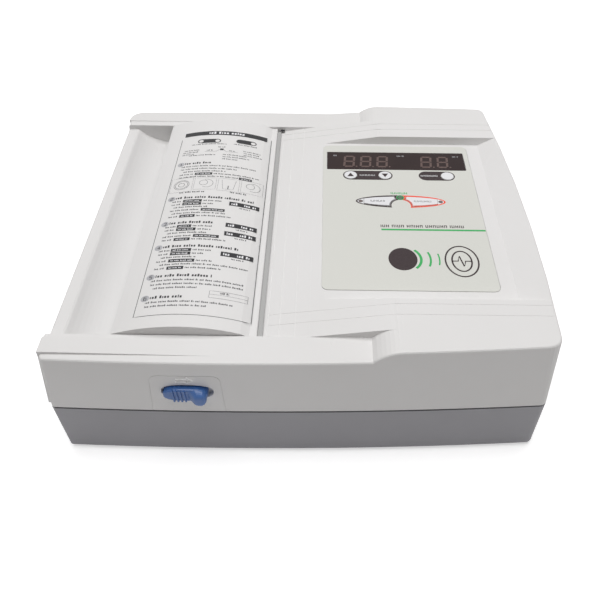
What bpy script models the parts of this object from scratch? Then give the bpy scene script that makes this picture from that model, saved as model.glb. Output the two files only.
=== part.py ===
"""Cardiotocograph: a wide desk recorder with a strip-chart printer and a sunken control panel.

Metres, +Z up, +X to the user's right, +Y to the back, origin on the table under the middle of the body.
"""
import math

import bmesh
import bpy
from mathutils import Matrix, Vector

for old in list(bpy.data.objects):
    bpy.data.objects.remove(old, do_unlink=True)

# Overall form
body_width = 0.296
body_depth = 0.2666
plateau_z = 0.0924
rail_step_rise = 0.0076
parting_z = 0.0425
ground_gap = 0.002

# General fits
seat_gap = 0.0003
running_gap = 0.0003
bore_gap = 0.0002
cut_over = 0.002
wall = 0.0026

# Plan outline: four shallow arcs and their corners
front_arc_radius = 2.722
front_top_arc_radius = 2.20
front_apex_x = -0.060
right_arc_radius = 1.316
right_apex_setback = 0.1063
back_arc_radius = 4.2
back_apex_x = -0.030
left_arc_radius = 30.0
rail_overhang = 0.0002
corner_front_left = 0.0030
corner_front_right = 0.009
corner_back_right = 0.006
corner_back_left = 0.0105
seam_corner_share = 0.5

# Drafts of the side faces, and edge roundings
shell_draft = 0.0004
shell_draft_left = 0.0017
top_edge_radius = 0.0016
tray_draft = 0.0010
tray_draft_left = 0.0024
tray_edge_radius = 0.0020

# Bars along the front and back, with their lifted left ends
front_bar_depth = 0.0211
back_bar_depth = 0.0227
bar_step_x = 0.0390
bar_step_run = 0.0170
back_step_lead = 0.0020
pad_rise = 0.0016
back_pad_rise = 0.0006
pad_under = 0.0024
pad_length = 0.103
front_pad_depth = 0.0117
front_pad_setback = 0.0033
back_pad_depth = 0.0126
back_pad_setback = 0.0062
pad_corner = 0.0100
end_block_foot = 0.0045
end_block_slant = 0.0050
end_block_lean = 0.0008

# Paper trough, printer bay and hinge groove, from the left side to the right
trough_width = 0.0361
trough_depth = 0.0158
trough_radius = 0.0385
rim_drop = 0.0036
rim_round = 0.0012
cover_chord = 0.0792
cover_flange = 0.0045
flange_drop = 0.0016
ledge_drop = 0.0041
groove_width = 0.0026
groove_drop = 0.0095
bay_floor_z = 0.064

# Ramp from the groove up to the plateau, its engraved lines, and the sunken panel
ramp_lead = 0.0270
ramp_slope = 0.152
ramp_crest_run = 0.0115
line_width = 0.0005
line_depth = 0.00015
side_line_offsets = (0.0023, 0.0095, 0.0185)
front_line_offsets = (0.0112, 0.0197)
back_line_offsets = (0.0062, 0.0140)
panel_rise = 0.0013
panel_right_margin = 0.0195
panel_bank_rim = 0.0022
panel_back_setback = 0.0250
panel_front_setback = 0.0292
panel_front_bank = 0.0050
panel_wall_lean = 0.0006

# Control overlay, window, keys and lamps; places are measured from the overlay's left front corner
overlay_width = 0.1086
overlay_length = 0.1575
overlay_left_offset = 0.0069
overlay_back_offset = 0.0033
overlay_thickness = 0.0005
overlay_recess = 0.0006
overlay_corner = 0.004
window_width = 0.1022
window_length = 0.0222
window_side_margin = 0.0029
window_back_margin = 0.0089
window_corner = 0.0008
digit_height = 0.0142
digit_pitch = 0.0127
digit_margin = 0.0018
digit_left_offset = 0.0151
digit_right_offset = 0.0726
digit_back_offset = 0.0146
key_radius = 0.0045
key_up_place = (0.0200, 0.1190)
key_down_place = (0.0450, 0.1190)
key_reference_place = (0.0903, 0.1189)
wing_centre_place = (0.0542, 0.0882)
wing_half_length = 0.0308
wing_half_height = 0.0065
wing_border = 0.0010
wing_key_reach = 0.0255
wing_bite_drop = 0.0049
wing_bite_radius = 0.0068
wing_notch_rise = 0.0044
wing_notch_radius = 0.0029
wing_points = 6
wing_stem_reach = 0.0150
key_travel = 0.0004
key_proud = 0.0003
key_cap_thickness = 0.0006
key_stem_radius = 0.0018
lamp_radius = 0.0013
lamp_reach = 0.0278
power_lamp_radius = 0.0019
board_thickness = 0.0016
board_drop = 0.0032
switch_side = 0.0060
switch_height = 0.0017
board_post_radius = 0.0025

# Printer cover
cover_radius = 0.113
cover_top_drop = 0.0009
cover_thickness = 0.0022
cover_gap = 0.0004
cover_skirt = 0.0046
cover_rib_depth = 0.0030
cover_rib_thickness = 0.0016
cover_rib_share = (0.27, 0.5, 0.73)
hinge_pin_radius = 0.0005
hinge_seat_length = 0.0060
hinge_hole_width = 0.0028
hinge_hole_length = 0.0030
hinge_hole_depth = 0.0130

# Latch in the front face
latch_plate_width = 0.0412
latch_plate_height = 0.0314
latch_plate_offset = 0.0820
latch_plate_taper = 0.0007
latch_plate_corner = 0.0045
latch_lap = 0.0013
latch_lap_depth = 0.0009
latch_flange_thickness = 0.0018
latch_slot_shift = 0.0006
latch_slot_z = 0.0605
latch_slot_width = 0.0303
latch_slot_height = 0.0117
latch_button_width = 0.0256
latch_button_lead = 0.0014
latch_button_margin = 0.0008
latch_button_drop = 0.0004
latch_button_edge = 0.0010
latch_travel = 0.0026
latch_button_proud = 0.0028
latch_nose_proud = 0.0064
latch_nose_width = 0.0084
latch_nose_sweep = 0.0040
latch_nose_drop = 0.0012
nose_round_power = 0.35
latch_neck_inset = 0.0055
latch_neck_height = 0.0056
latch_ridge_lead = 0.0056
latch_ridge_pitch = 0.0022
latch_ridge_width = 0.0009
latch_ridge_height = 0.0007
latch_ridge_lean = 0.0008
latch_ridge_count = 4
round_end_power = 0.77
latch_carriage_width = 0.026
latch_carriage_height = 0.0170
latch_carriage_thickness = 0.0022
latch_rail_height = 0.0015
latch_tongue_width = 0.0050
latch_tongue_rise = 0.0149
latch_tongue_height = 0.0022
latch_hook_height = 0.0026
latch_hook_gap = 0.0003
latch_hook_width = 0.0050
latch_spring_radius = 0.0022
latch_spring_wire = 0.0003
latch_spring_turns = 5
latch_spring_length = 0.0050
latch_stop_thickness = 0.0016

# Printer drive and paper
platen_offset_x = 0.0118
platen_z = 0.0672
platen_radius = 0.008
platen_shaft_radius = 0.003
gear_module = 0.0008
platen_teeth = 24
idler_teeth = 36
pinion_teeth = 12
gear_width = 0.0042
gear_backlash = 0.00030
gear_bore_gap = 0.0003
idler_pin_radius = 0.0020
motor_radius = 0.0170
motor_length = 0.0240
motor_shaft_radius = 0.0010
cheek_thickness = 0.0025
gear_room = 0.0061
end_room = 0.0007
roll_offset_x = 0.0500
roll_z = 0.050
roll_radius = 0.0230
roll_end_room = 0.0014
core_outer_radius = 0.0090
core_wall = 0.0016
spindle_radius = 0.0030
spindle_hub_length = 0.0120
cradle_thickness = 0.0020
cradle_gap = 0.0016
cradle_half_angle_share = 0.44
guide_top_z = 0.0640
cheek_top_z = 0.0765
cheek_mid_z = 0.0700
head_width = 0.0160
head_thickness = 0.0032
head_strip_width = 0.0060
head_strip_thickness = 0.0008
head_end_room = 0.0030
head_post_radius = 0.0020
head_post_share = 0.12
head_seat_radius = 0.0042
head_seat_drop = 0.0008
head_spring_radius = 0.0032
head_spring_wire = 0.0003
head_spring_turns = 3

# Base tray fittings
tray_floor = 0.0026
tray_back_wall = 0.0078
tongue_height = 0.0018
tongue_setback = 0.0014
foot_radius = 0.008
foot_recess = 0.001
foot_inset_x = 0.026
foot_inset_y = 0.030
screw_inset_x = 0.0145
screw_inset_y = 0.0118
screw_right_extra_x = 0.0010
screw_right_extra_y = 0.0080
screw_radius = 0.0014
screw_head_radius = 0.0028
screw_head_height = 0.0018
screw_length = 0.046
screw_seat_z = 0.012
boss_radius = 0.0040
vent_width = 0.0024
vent_length = 0.036
vent_pitch = 0.0064
vent_count = 9
vent_x = 0.020
standoff_radius = 0.0030
standoff_height = 0.0065

# Connectors on the back
port_plane_setback = 0.0048
port_z = 0.0225
port_pocket_height = 0.0290
port_pocket_inset = 0.022
port_pocket_end = 0.016
port_body_depth = 0.0120
port_flange = 0.0018
inlet_offset = 0.018
inlet_width = 0.0270
inlet_height = 0.0196
inlet_lip = 0.0022
inlet_mouth_depth = 0.0100
inlet_pin_length = 0.0045
inlet_pin_width = 0.0040
inlet_pin_height = 0.0020
inlet_pin_spread = 0.0070
switch_spacing = 0.030
switch_width = 0.0150
switch_tall = 0.0210
switch_rim = 0.0020
rocker_depth = 0.0060
rocker_proud = 0.0022
rocker_tilt_degrees = 8.0
rocker_gap = 0.0005
serial_spacing = 0.038
serial_width = 0.0308
serial_height = 0.0125
serial_shell_width = 0.0180
serial_shell_height = 0.0090
serial_shell_proud = 0.0050
socket_spacing = 0.036
socket_pitch = 0.026
socket_radius = 0.0085
socket_body_radius = 0.0068
socket_mouth_radius = 0.0050
socket_mouth_depth = 0.0075
marker_spacing = 0.050
marker_radius = 0.0055
marker_body_radius = 0.0038
marker_mouth_radius = 0.0018

# Electronics
main_board_width = 0.115
main_board_length = 0.105
main_board_inset = 0.090
main_board_clearance = 0.029
supply_width = 0.070
supply_length = 0.044
supply_inset = 0.050
supply_setback = 0.053
supply_can_height = 0.020
speaker_radius = 0.0200
speaker_offset = 0.0240
speaker_setback = 0.032
speaker_height = 0.0130
speaker_hole_radius = 0.0012

# Levels and places worked out from the sizes above
half_width = body_width / 2
latch_plate_x = -half_width + latch_plate_offset
latch_slot_x = latch_plate_x + latch_slot_shift
latch_face_share = (latch_slot_z - parting_z) / (plateau_z - rail_step_rise - parting_z)
latch_face_sag = (latch_slot_x - front_apex_x) ** 2 / (2 * front_arc_radius)
latch_face_inset = latch_face_sag + shell_draft * latch_face_share
front_y = -body_depth / 2 + (latch_nose_proud - latch_face_inset) / 2
back_y = front_y + body_depth
low_z = plateau_z - rail_step_rise
left_x = -half_width
shell_left_x = left_x + rail_overhang
rim_x = shell_left_x + shell_draft_left
rim_z = low_z - rim_drop
bar_front_y = front_y + front_bar_depth
bar_back_y = back_y - back_bar_depth
cover_left_x = rim_x + trough_width
cover_arch_right_x = cover_left_x + cover_chord
cover_right_x = cover_arch_right_x + cover_flange
groove_right_x = cover_right_x + groove_width
ramp_start_x = groove_right_x + ramp_lead
trough_bottom_z = low_z - trough_depth
bar_step_top_x = bar_step_x + bar_step_run
panel_z = low_z + panel_rise
panel_left_x = ramp_start_x + panel_rise / ramp_slope
panel_right_x = half_width - panel_right_margin
panel_back_y = bar_back_y - panel_back_setback
panel_front_y = bar_front_y + panel_front_setback
overlay_left_x = ramp_start_x + overlay_left_offset
overlay_back_y = panel_back_y - overlay_back_offset
overlay_right_x = overlay_left_x + overlay_width
overlay_front_y = overlay_back_y - overlay_length
overlay_seat_z = panel_z - overlay_recess
overlay_z = overlay_seat_z + seat_gap
overlay_top_z = overlay_z + overlay_thickness
shell_ceiling_z = panel_z - overlay_recess - wall
low_ceiling_z = low_z - ramp_lead * ramp_slope - wall
board_top_z = shell_ceiling_z - board_drop
board_left_x = max(overlay_left_x, panel_left_x) + seat_gap
flange_top_z = low_z - flange_drop
hinge_x = cover_right_x - cover_thickness / 2
hinge_z = flange_top_z - cover_thickness / 2
cover_front_y = bar_front_y + cover_gap
cover_back_y = bar_back_y - cover_gap
cover_peak_z = plateau_z - cover_top_drop
cover_mid_x = (cover_left_x + cover_arch_right_x) / 2
cover_centre_z = cover_peak_z - cover_radius
bay_right_x = cover_arch_right_x + cover_flange / 4
ramp_crest_x = ramp_start_x + rail_step_rise / ramp_slope
right_sag = max(right_apex_setback, body_depth - right_apex_setback) ** 2 / (2 * right_arc_radius)
last_station_x = half_width - right_sag - 2 * corner_front_right
lap_y = front_y + latch_face_inset + latch_lap_depth
port_pocket_right = half_width - port_pocket_inset
inlet_x = port_pocket_right - inlet_offset
switch_x = inlet_x - switch_spacing
serial_x = switch_x - serial_spacing
socket_first_x = serial_x - socket_spacing
marker_x = socket_first_x - marker_spacing
port_pocket_left = marker_x - port_pocket_end
main_board_x = half_width - main_board_inset
supply_x = half_width - supply_inset
supply_y = back_y - supply_setback
main_board_y = supply_y - (supply_length + main_board_length) / 2 - main_board_clearance
speaker_x = groove_right_x + speaker_offset
speaker_y = front_y + speaker_setback
tray_floor_z = ground_gap + tray_floor
full_turn = 2 * math.pi
round_sides = 24
smooth_limit_degrees = 32.0
small_sides = 16
coil_steps = 8
wire_sides = 5
corner_steps = 5
side_shares = (0.2, 0.4, 0.6, 0.8)


# Materials

def material(name, colour, roughness, metallic=0.0):
    made = bpy.data.materials.new(name)
    made.use_nodes = True
    shader = made.node_tree.nodes["Principled BSDF"]
    shader.inputs["Base Color"].default_value = (*colour, 1.0)
    shader.inputs["Roughness"].default_value = roughness
    shader.inputs["Metallic"].default_value = metallic
    return made


white_plastic = material("white_plastic", (0.78, 0.77, 0.76), 0.5)
grey_plastic = material("grey_plastic", (0.26, 0.26, 0.28), 0.55)
blue_plastic = material("blue_plastic", (0.03, 0.11, 0.36), 0.35)
panel_film = material("panel_film", (0.68, 0.68, 0.62), 0.4)
window_film = material("window_film", (0.05, 0.025, 0.022), 0.12)
key_white = material("key_white", (0.85, 0.85, 0.83), 0.4)
digit_lens = material("digit_lens", (0.16, 0.06, 0.05), 0.3)
green_lens = material("green_lens", (0.05, 0.42, 0.12), 0.2)
red_lens = material("red_lens", (0.45, 0.05, 0.03), 0.2)
steel = material("steel", (0.62, 0.62, 0.64), 0.3, 1.0)
aluminium = material("aluminium", (0.72, 0.73, 0.75), 0.35, 1.0)
rubber = material("rubber", (0.03, 0.03, 0.03), 0.8)
black_plastic = material("black_plastic", (0.03, 0.03, 0.035), 0.4)
gear_plastic = material("gear_plastic", (0.8, 0.78, 0.7), 0.4)
paper = material("paper", (0.9, 0.88, 0.85), 0.8)
card = material("card", (0.45, 0.33, 0.2), 0.8)
board_green = material("board_green", (0.03, 0.2, 0.08), 0.4)
frame_plastic = material("frame_plastic", (0.12, 0.12, 0.13), 0.5)


# Mesh tools

def make(name, mesh_data, look=None):
    """Turns a bmesh into an object with outward faces and smooth round stretches."""
    bmesh.ops.recalc_face_normals(mesh_data, faces=mesh_data.faces)
    mesh = bpy.data.meshes.new(name)
    mesh_data.to_mesh(mesh)
    mesh_data.free()
    mesh.shade_smooth()
    mesh.set_sharp_from_angle(angle=math.radians(smooth_limit_degrees))
    made = bpy.data.objects.new(name, mesh)
    bpy.context.scene.collection.objects.link(made)
    if look:
        made.data.materials.append(look)
    return made


def guide(name, mesh_data):
    """A cutter or an added form: kept out of the model itself."""
    made = make(name, mesh_data)
    made.hide_render = True
    made.display_type = "WIRE"
    return made


def combine(target, operation, tools):
    for tool in tools:
        step = target.modifiers.new(operation.title(), "BOOLEAN")
        step.operation = operation
        step.object = tool
        step.solver = "EXACT"


def cut(target, *tools):
    combine(target, "DIFFERENCE", tools)


def add(target, *tools):
    combine(target, "UNION", tools)


def loft(rings, capped=True, closed=False):
    """Skins a stack of rings of equal count; caps are flat faces."""
    form = bmesh.new()
    rows = [[form.verts.new(point) for point in ring] for ring in rings]
    count = len(rows[0])
    pairs = list(zip(rows, rows[1:]))
    if closed:
        pairs.append((rows[-1], rows[0]))
    for lower, upper in pairs:
        for i in range(count):
            j = (i + 1) % count
            form.faces.new((lower[i], lower[j], upper[j], upper[i]))
    if capped and not closed:
        form.faces.new(list(reversed(rows[0])))
        form.faces.new(rows[-1])
    return form


def prism(points, axis, low, high):
    """Extrudes a flat outline along an axis; the outline lies in the other two, in X, Y, Z order."""
    place = {
        "X": lambda p, h: (h, p[0], p[1]),
        "Y": lambda p, h: (p[0], h, p[1]),
        "Z": lambda p, h: (p[0], p[1], h),
    }[axis]
    return loft([[place(p, low) for p in points], [place(p, high) for p in points]])


def block(low, high):
    outline = [(low[0], low[1]), (high[0], low[1]), (high[0], high[1]), (low[0], high[1])]
    return prism(outline, "Z", low[2], high[2])


def arc(centre, radius, start, end, steps):
    """Points along a circle from one angle to another, both ends included."""
    turn = (end - start) / steps
    return [
        (centre[0] + radius * math.cos(start + i * turn), centre[1] + radius * math.sin(start + i * turn))
        for i in range(steps + 1)
    ]


def rounded_rectangle(low, high, radius, steps=3):
    quarter = math.pi / 2
    corners = [
        ((low[0] + radius, low[1] + radius), 2 * quarter),
        ((high[0] - radius, low[1] + radius), 3 * quarter),
        ((high[0] - radius, high[1] - radius), 0.0),
        ((low[0] + radius, high[1] - radius), quarter),
    ]
    points = []
    for centre, angle in corners:
        points += arc(centre, radius, angle, angle + quarter, steps)
    return points


def turned(profile, origin, axis, sides=round_sides, closed=False):
    """Revolves (radius, height) points about an axis through the origin given."""
    frame = {
        "X": (Vector((0, 1, 0)), Vector((0, 0, 1)), Vector((1, 0, 0))),
        "Y": (Vector((0, 0, 1)), Vector((1, 0, 0)), Vector((0, 1, 0))),
        "Z": (Vector((1, 0, 0)), Vector((0, 1, 0)), Vector((0, 0, 1))),
    }[axis]
    centre = Vector(origin)
    rings = []
    for radius, height in profile:
        ring = []
        for i in range(sides):
            angle = full_turn * i / sides
            ring.append(
                centre + frame[2] * height + frame[0] * radius * math.cos(angle)
                + frame[1] * radius * math.sin(angle)
            )
        rings.append(ring)
    return loft(rings, capped=True, closed=closed)


def rod(origin, axis, radius, low, high, sides=round_sides):
    return turned([(radius, low), (radius, high)], origin, axis, sides)


def tube(origin, axis, inner, outer, low, high, sides=round_sides):
    section = [(inner, low), (outer, low), (outer, high), (inner, high)]
    return turned(section, origin, axis, sides, closed=True)


def coil(name, centre, axis, radius, wire, turns, length, look):
    """One unbroken wire wound round an axis."""
    total = turns * coil_steps
    rise = length - 2 * wire
    place = {"X": lambda a, b, h: (h, a, b), "Z": lambda a, b, h: (a, b, h)}[axis]
    rings = []
    for i in range(total + 1):
        angle = full_turn * i / coil_steps
        ring = []
        for k in range(wire_sides):
            round_wire = full_turn * k / wire_sides
            out = radius + wire * math.cos(round_wire)
            along = wire + rise * i / total + wire * math.sin(round_wire)
            ring.append(Vector(centre) + Vector(place(out * math.cos(angle), out * math.sin(angle), along)))
        rings.append(ring)
    return make(name, loft(rings), look)


# Plan outline of the body

def circles_meet(first, first_radius, second, second_radius, near):
    """The point where two circles meet, on the side of a place given."""
    line = second - first
    distance = line.length
    along = (first_radius ** 2 - second_radius ** 2 + distance ** 2) / (2 * distance)
    across = math.sqrt(max(first_radius ** 2 - along ** 2, 0.0))
    middle = first + line * (along / distance)
    side = Vector((-line.y, line.x)) * (across / distance)
    return min((middle + side, middle - side), key=lambda point: (point - near).length)


def outline(insets, radii, stations, left=shell_left_x, front_radius=front_arc_radius):
    """Front, right, back and left arcs, each set in, with rounded corners between them."""
    right = half_width
    arcs = [
        (Vector((front_apex_x, front_y + front_radius)), front_radius - insets[0]),
        (Vector((right - right_arc_radius, (front_y + right_apex_setback))), right_arc_radius - insets[1]),
        (Vector((back_apex_x, back_y - back_arc_radius)), back_arc_radius - insets[2]),
        (Vector((left + left_arc_radius, 0)), left_arc_radius - insets[3]),
    ]
    near = [(right, front_y), (right, back_y), (left, back_y), (left, front_y)]
    bends = []
    for i, corner in enumerate(near):
        first, second = arcs[i], arcs[(i + 1) % 4]
        radius = radii[(i + 1) % 4]
        centre = circles_meet(first[0], first[1] - radius, second[0], second[1] - radius, Vector(corner))
        start = centre - first[0]
        end = centre - second[0]
        start_angle = math.atan2(start.y, start.x)
        end_angle = math.atan2(end.y, end.x)
        if end_angle < start_angle:
            end_angle += full_turn
        bends.append(arc(centre, radius, start_angle, end_angle, corner_steps))

    def front(x):
        return arcs[0][0].y - math.sqrt(arcs[0][1] ** 2 - (x - arcs[0][0].x) ** 2)

    def back(x):
        return arcs[2][0].y + math.sqrt(arcs[2][1] ** 2 - (x - arcs[2][0].x) ** 2)

    def side(y, which):
        reach = math.sqrt(arcs[which][1] ** 2 - (y - arcs[which][0].y) ** 2)
        return arcs[which][0].x + (reach if which == 1 else -reach)

    points = [(x, front(x)) for x in stations]
    points += bends[0]
    low, high = bends[0][-1][1], bends[1][0][1]
    points += [(side(low + share * (high - low), 1), low + share * (high - low)) for share in side_shares]
    points += bends[1]
    points += [(x, back(x)) for x in reversed(stations)]
    points += bends[2]
    high, low = bends[2][-1][1], bends[3][0][1]
    points += [(side(high + share * (low - high), 3), high + share * (low - high)) for share in side_shares]
    points += bends[3]
    return points


def spread(low, high, count):
    return [low + (high - low) * i / (count - 1) for i in range(count)]


def plain_stations(left=shell_left_x, count=11):
    return spread(left + corner_back_left * 2, last_station_x, count)


def front_line(x):
    """Depth of the outermost front arc at a place along the width."""
    return front_y + front_arc_radius - math.sqrt(front_arc_radius ** 2 - (x - front_apex_x) ** 2)


body_corners = (corner_front_left, corner_front_right, corner_back_right, corner_back_left)


def all_round(inset):
    return (inset, inset, inset, inset)


def corners_in(inset, share=1.0):
    """Corner radii of an outline set in; they grow from the seam up to the top edge."""
    scale = seam_corner_share + (1 - seam_corner_share) * share
    return tuple(max(radius * scale - inset, line_width) for radius in body_corners)


def bar_top(x):
    """Height of the front and back bars: low, a short curved step, then the plateau."""
    if x <= bar_step_x:
        return low_z
    if x >= bar_step_top_x:
        return plateau_z
    radius = (bar_step_run ** 2 + rail_step_rise ** 2) / (2 * rail_step_rise)
    return plateau_z - (radius - math.sqrt(radius ** 2 - (bar_step_top_x - x) ** 2))


# Top shell

def shell_form():
    """The whole upper body as one block, its top edge rounded all round."""
    first = left_x + corner_back_left * 2
    stations = spread(first, bar_step_x, 8) + spread(bar_step_x, bar_step_top_x, 8)[1:]
    stations += spread(bar_step_top_x, last_station_x, 5)[1:]

    def ring(share, edge_in, edge_down):
        insets = [shell_draft * share + edge_in] * 3 + [shell_draft_left * share + edge_in]
        front_radius = front_arc_radius + share * (front_top_arc_radius - front_arc_radius)
        flat = outline(insets, corners_in(edge_in, share), stations, shell_left_x, front_radius)
        floor = parting_z + seat_gap
        top = [bar_top(x + (back_step_lead if y > 0 else 0.0)) - edge_down for x, y in flat]
        return [(x, y, floor + (z - floor) * share) for (x, y), z in zip(flat, top)]

    rings = [ring(0.0, 0.0, 0.0), ring(1.0, 0.0, top_edge_radius)]
    for degrees in (30, 60, 90):
        angle = math.radians(degrees)
        rings.append(
            ring(1.0, top_edge_radius * (1 - math.cos(angle)), top_edge_radius * (1 - math.sin(angle)))
        )
    form = bmesh.new()
    rows = [[form.verts.new(point) for point in ring_points] for ring_points in rings]
    total = len(rows[0])
    for lower, upper in zip(rows, rows[1:]):
        for i in range(total):
            j = (i + 1) % total
            form.faces.new((lower[i], lower[j], upper[j], upper[i]))
    form.faces.new(list(reversed(rows[0])))
    # The roof is ruled from front to back in strips, with a flat end piece at each side
    top = rows[-1]
    count = len(stations)
    back_first = count + 2 * (corner_steps + 1) + len(side_shares)
    back_row = list(reversed(top[back_first:back_first + count]))
    front_row = top[:count]
    for i in range(count - 1):
        form.faces.new((front_row[i], front_row[i + 1], back_row[i + 1]))
        form.faces.new((front_row[i], back_row[i + 1], back_row[i]))
    form.faces.new(top[count - 1:back_first + 1])
    form.faces.new(top[back_first + count - 1:] + [top[0]])
    return form


def trough_arc(offset, start_x, end_x, steps):
    """Points down the paper trough, or along its underside when set out by a wall."""
    centre_z = trough_bottom_z + trough_radius
    radius = trough_radius + offset
    return [
        (x, centre_z - math.sqrt(radius ** 2 - (x - cover_left_x) ** 2))
        for x in spread(start_x, end_x, steps)
    ]


def bay_cutter():
    """Clears the paper trough, the printer bay, the hinge groove and the foot of the ramp."""
    sky = plateau_z + 4 * cut_over
    lip_x = cover_left_x - 2 * running_gap - cover_thickness / 2
    trough_rise = rim_z - trough_bottom_z
    rim_inner_x = cover_left_x - math.sqrt(trough_radius ** 2 - (trough_radius - trough_rise) ** 2)
    points = [(left_x - cut_over, sky), (left_x - cut_over, rim_z - rim_round)]
    points += arc((rim_x + rim_round, rim_z - rim_round), rim_round, math.pi, math.pi / 2, 3)
    points += [(rim_inner_x - rim_round / 2, rim_z)]
    points += trough_arc(0.0, rim_inner_x + rim_round / 2, lip_x, 11)
    points += [
        (lip_x, bay_floor_z - cut_over),
        (bay_right_x, bay_floor_z - cut_over),
        (bay_right_x, low_z - ledge_drop),
        (cover_right_x, low_z - ledge_drop),
        (cover_right_x, low_z - groove_drop),
        (groove_right_x, low_z - groove_drop),
        (groove_right_x, deck_z(groove_right_x)),
        (ramp_start_x + cut_over, deck_z(ramp_start_x + cut_over)),
        (ramp_start_x + cut_over, sky),
    ]
    return guide("bay_cutter", prism(points, "Y", bar_front_y, bar_back_y))


def deck_z(x):
    """Height of the deck between the bars: one long slope, then a rounded crest and the plateau."""
    from_end = ramp_crest_x + ramp_crest_run / 2 - x
    if from_end <= 0:
        return plateau_z
    if from_end < ramp_crest_run:
        return plateau_z - ramp_slope * from_end ** 2 / (2 * ramp_crest_run)
    return low_z + ramp_slope * (x - ramp_start_x)


def crest_stations():
    return spread(ramp_crest_x - ramp_crest_run / 2, ramp_crest_x + ramp_crest_run / 2, 6)


def ramp_form():
    """The slope's upper part, laid on the low roof up to the plateau."""
    under = seat_gap / 10
    end_x = crest_stations()[-1] + wall
    base = low_ceiling_z + wall / 3
    points = [(ramp_start_x, base), (end_x, base), (end_x, plateau_z - under)]
    points += [(x, deck_z(x) - under) for x in reversed(crest_stations())]
    points += [(ramp_start_x, low_z - under)]
    return guide("ramp_form", prism(points, "Y", bar_front_y, bar_back_y))


def deck_lines():
    """Fine engraved lines: three along the groove, and a pair beside each bar that climbs the ramp."""
    sky = plateau_z + cut_over
    starts = [groove_right_x + offset for offset in side_line_offsets]
    lines = [
        guide("side_line", block(
            (x, bar_front_y + seat_gap, deck_z(x) - line_depth - seat_gap / 10),
            (x + line_width, bar_back_y - seat_gap, sky)))
        for x in starts
    ]
    places = [bar_front_y + offset for offset in front_line_offsets]
    places += [bar_back_y - offset for offset in back_line_offsets]
    stations = [starts[0] + line_width / 2] + crest_stations() + [half_width + cut_over]
    for y in places:
        section = [(x, deck_z(x) - line_depth) for x in stations] + [(stations[-1], sky), (stations[0], sky)]
        lines.append(guide("cross_line", prism(section, "Y", y, y + line_width)))
    return lines


def panel_cutter():
    """Sinks the control panel: upright wall behind, sloping banks at the right and the front."""
    over = 1 + cut_over / (plateau_z - panel_z)
    left = ramp_start_x
    rows = 7
    side = []
    rim = []
    for y in spread(panel_front_y, panel_back_y, rows):
        edge = half_width - right_arc_radius + math.sqrt(right_arc_radius ** 2
            - (y - (front_y + right_apex_setback)) ** 2)
        side.append((panel_right_x, y))
        rim.append((edge - panel_bank_rim, y))
    low = [(left, panel_front_y)] + side + [(left, panel_back_y)]
    front_top = panel_front_y - panel_front_bank
    back_top = panel_back_y + panel_wall_lean
    rim[0] = (rim[0][0], front_top)
    rim[-1] = (rim[-1][0], back_top)
    high = [(left, front_top)] + rim + [(left, back_top)]
    stretched = [(a[0] + (b[0] - a[0]) * over, a[1] + (b[1] - a[1]) * over) for a, b in zip(low, high)]
    top_z = panel_z + (plateau_z - panel_z) * over
    return guide("panel_cutter", loft([
        [(x, y, panel_z) for x, y in low], [(x, y, top_z) for x, y in stretched]]))


def pad_form(name, left, rise, front_edge, back_edge, radius):
    """A bar's lifted left end: a long thin wedge, with a rounded back corner."""
    right = left_x + pad_length
    points = [(left, front_edge), (right, front_edge), (right, back_edge)]
    points += arc((left + radius, back_edge - radius), radius, math.pi / 2, math.pi, 5)
    pad = guide(name, prism(points, "Z", low_z - pad_under, low_z + rise))
    slope = [
        (left, low_z + rise),
        (right, low_z - seat_gap / 10),
        (right + cut_over, low_z - seat_gap / 10),
        (right + cut_over, low_z + rise + cut_over),
        (left - cut_over, low_z + rise + cut_over),
        (left - cut_over, low_z + rise),
    ]
    cut(pad, guide(name + "_slope", prism(slope, "Y", front_edge - cut_over, back_edge + cut_over)))
    return pad


def end_block():
    """The front bar's end: it stands out from the side wall, and its front edge leans back going up."""
    foot_z = parting_z + end_block_foot
    top_z = low_z - seat_gap
    inner_x = left_x + 2 * wall
    top_y = bar_front_y - front_pad_setback - front_pad_depth + seat_gap
    top_x = left_x + end_block_lean + seat_gap / 3

    def ring(foot_y, high_y):
        return [(left_x, foot_y, foot_z), (inner_x, foot_y, foot_z), (inner_x, high_y, top_z),
            (top_x, high_y, top_z)]

    return guide("end_block", loft([ring(top_y - end_block_slant, top_y), ring(bar_front_y, bar_front_y)]))


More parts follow.
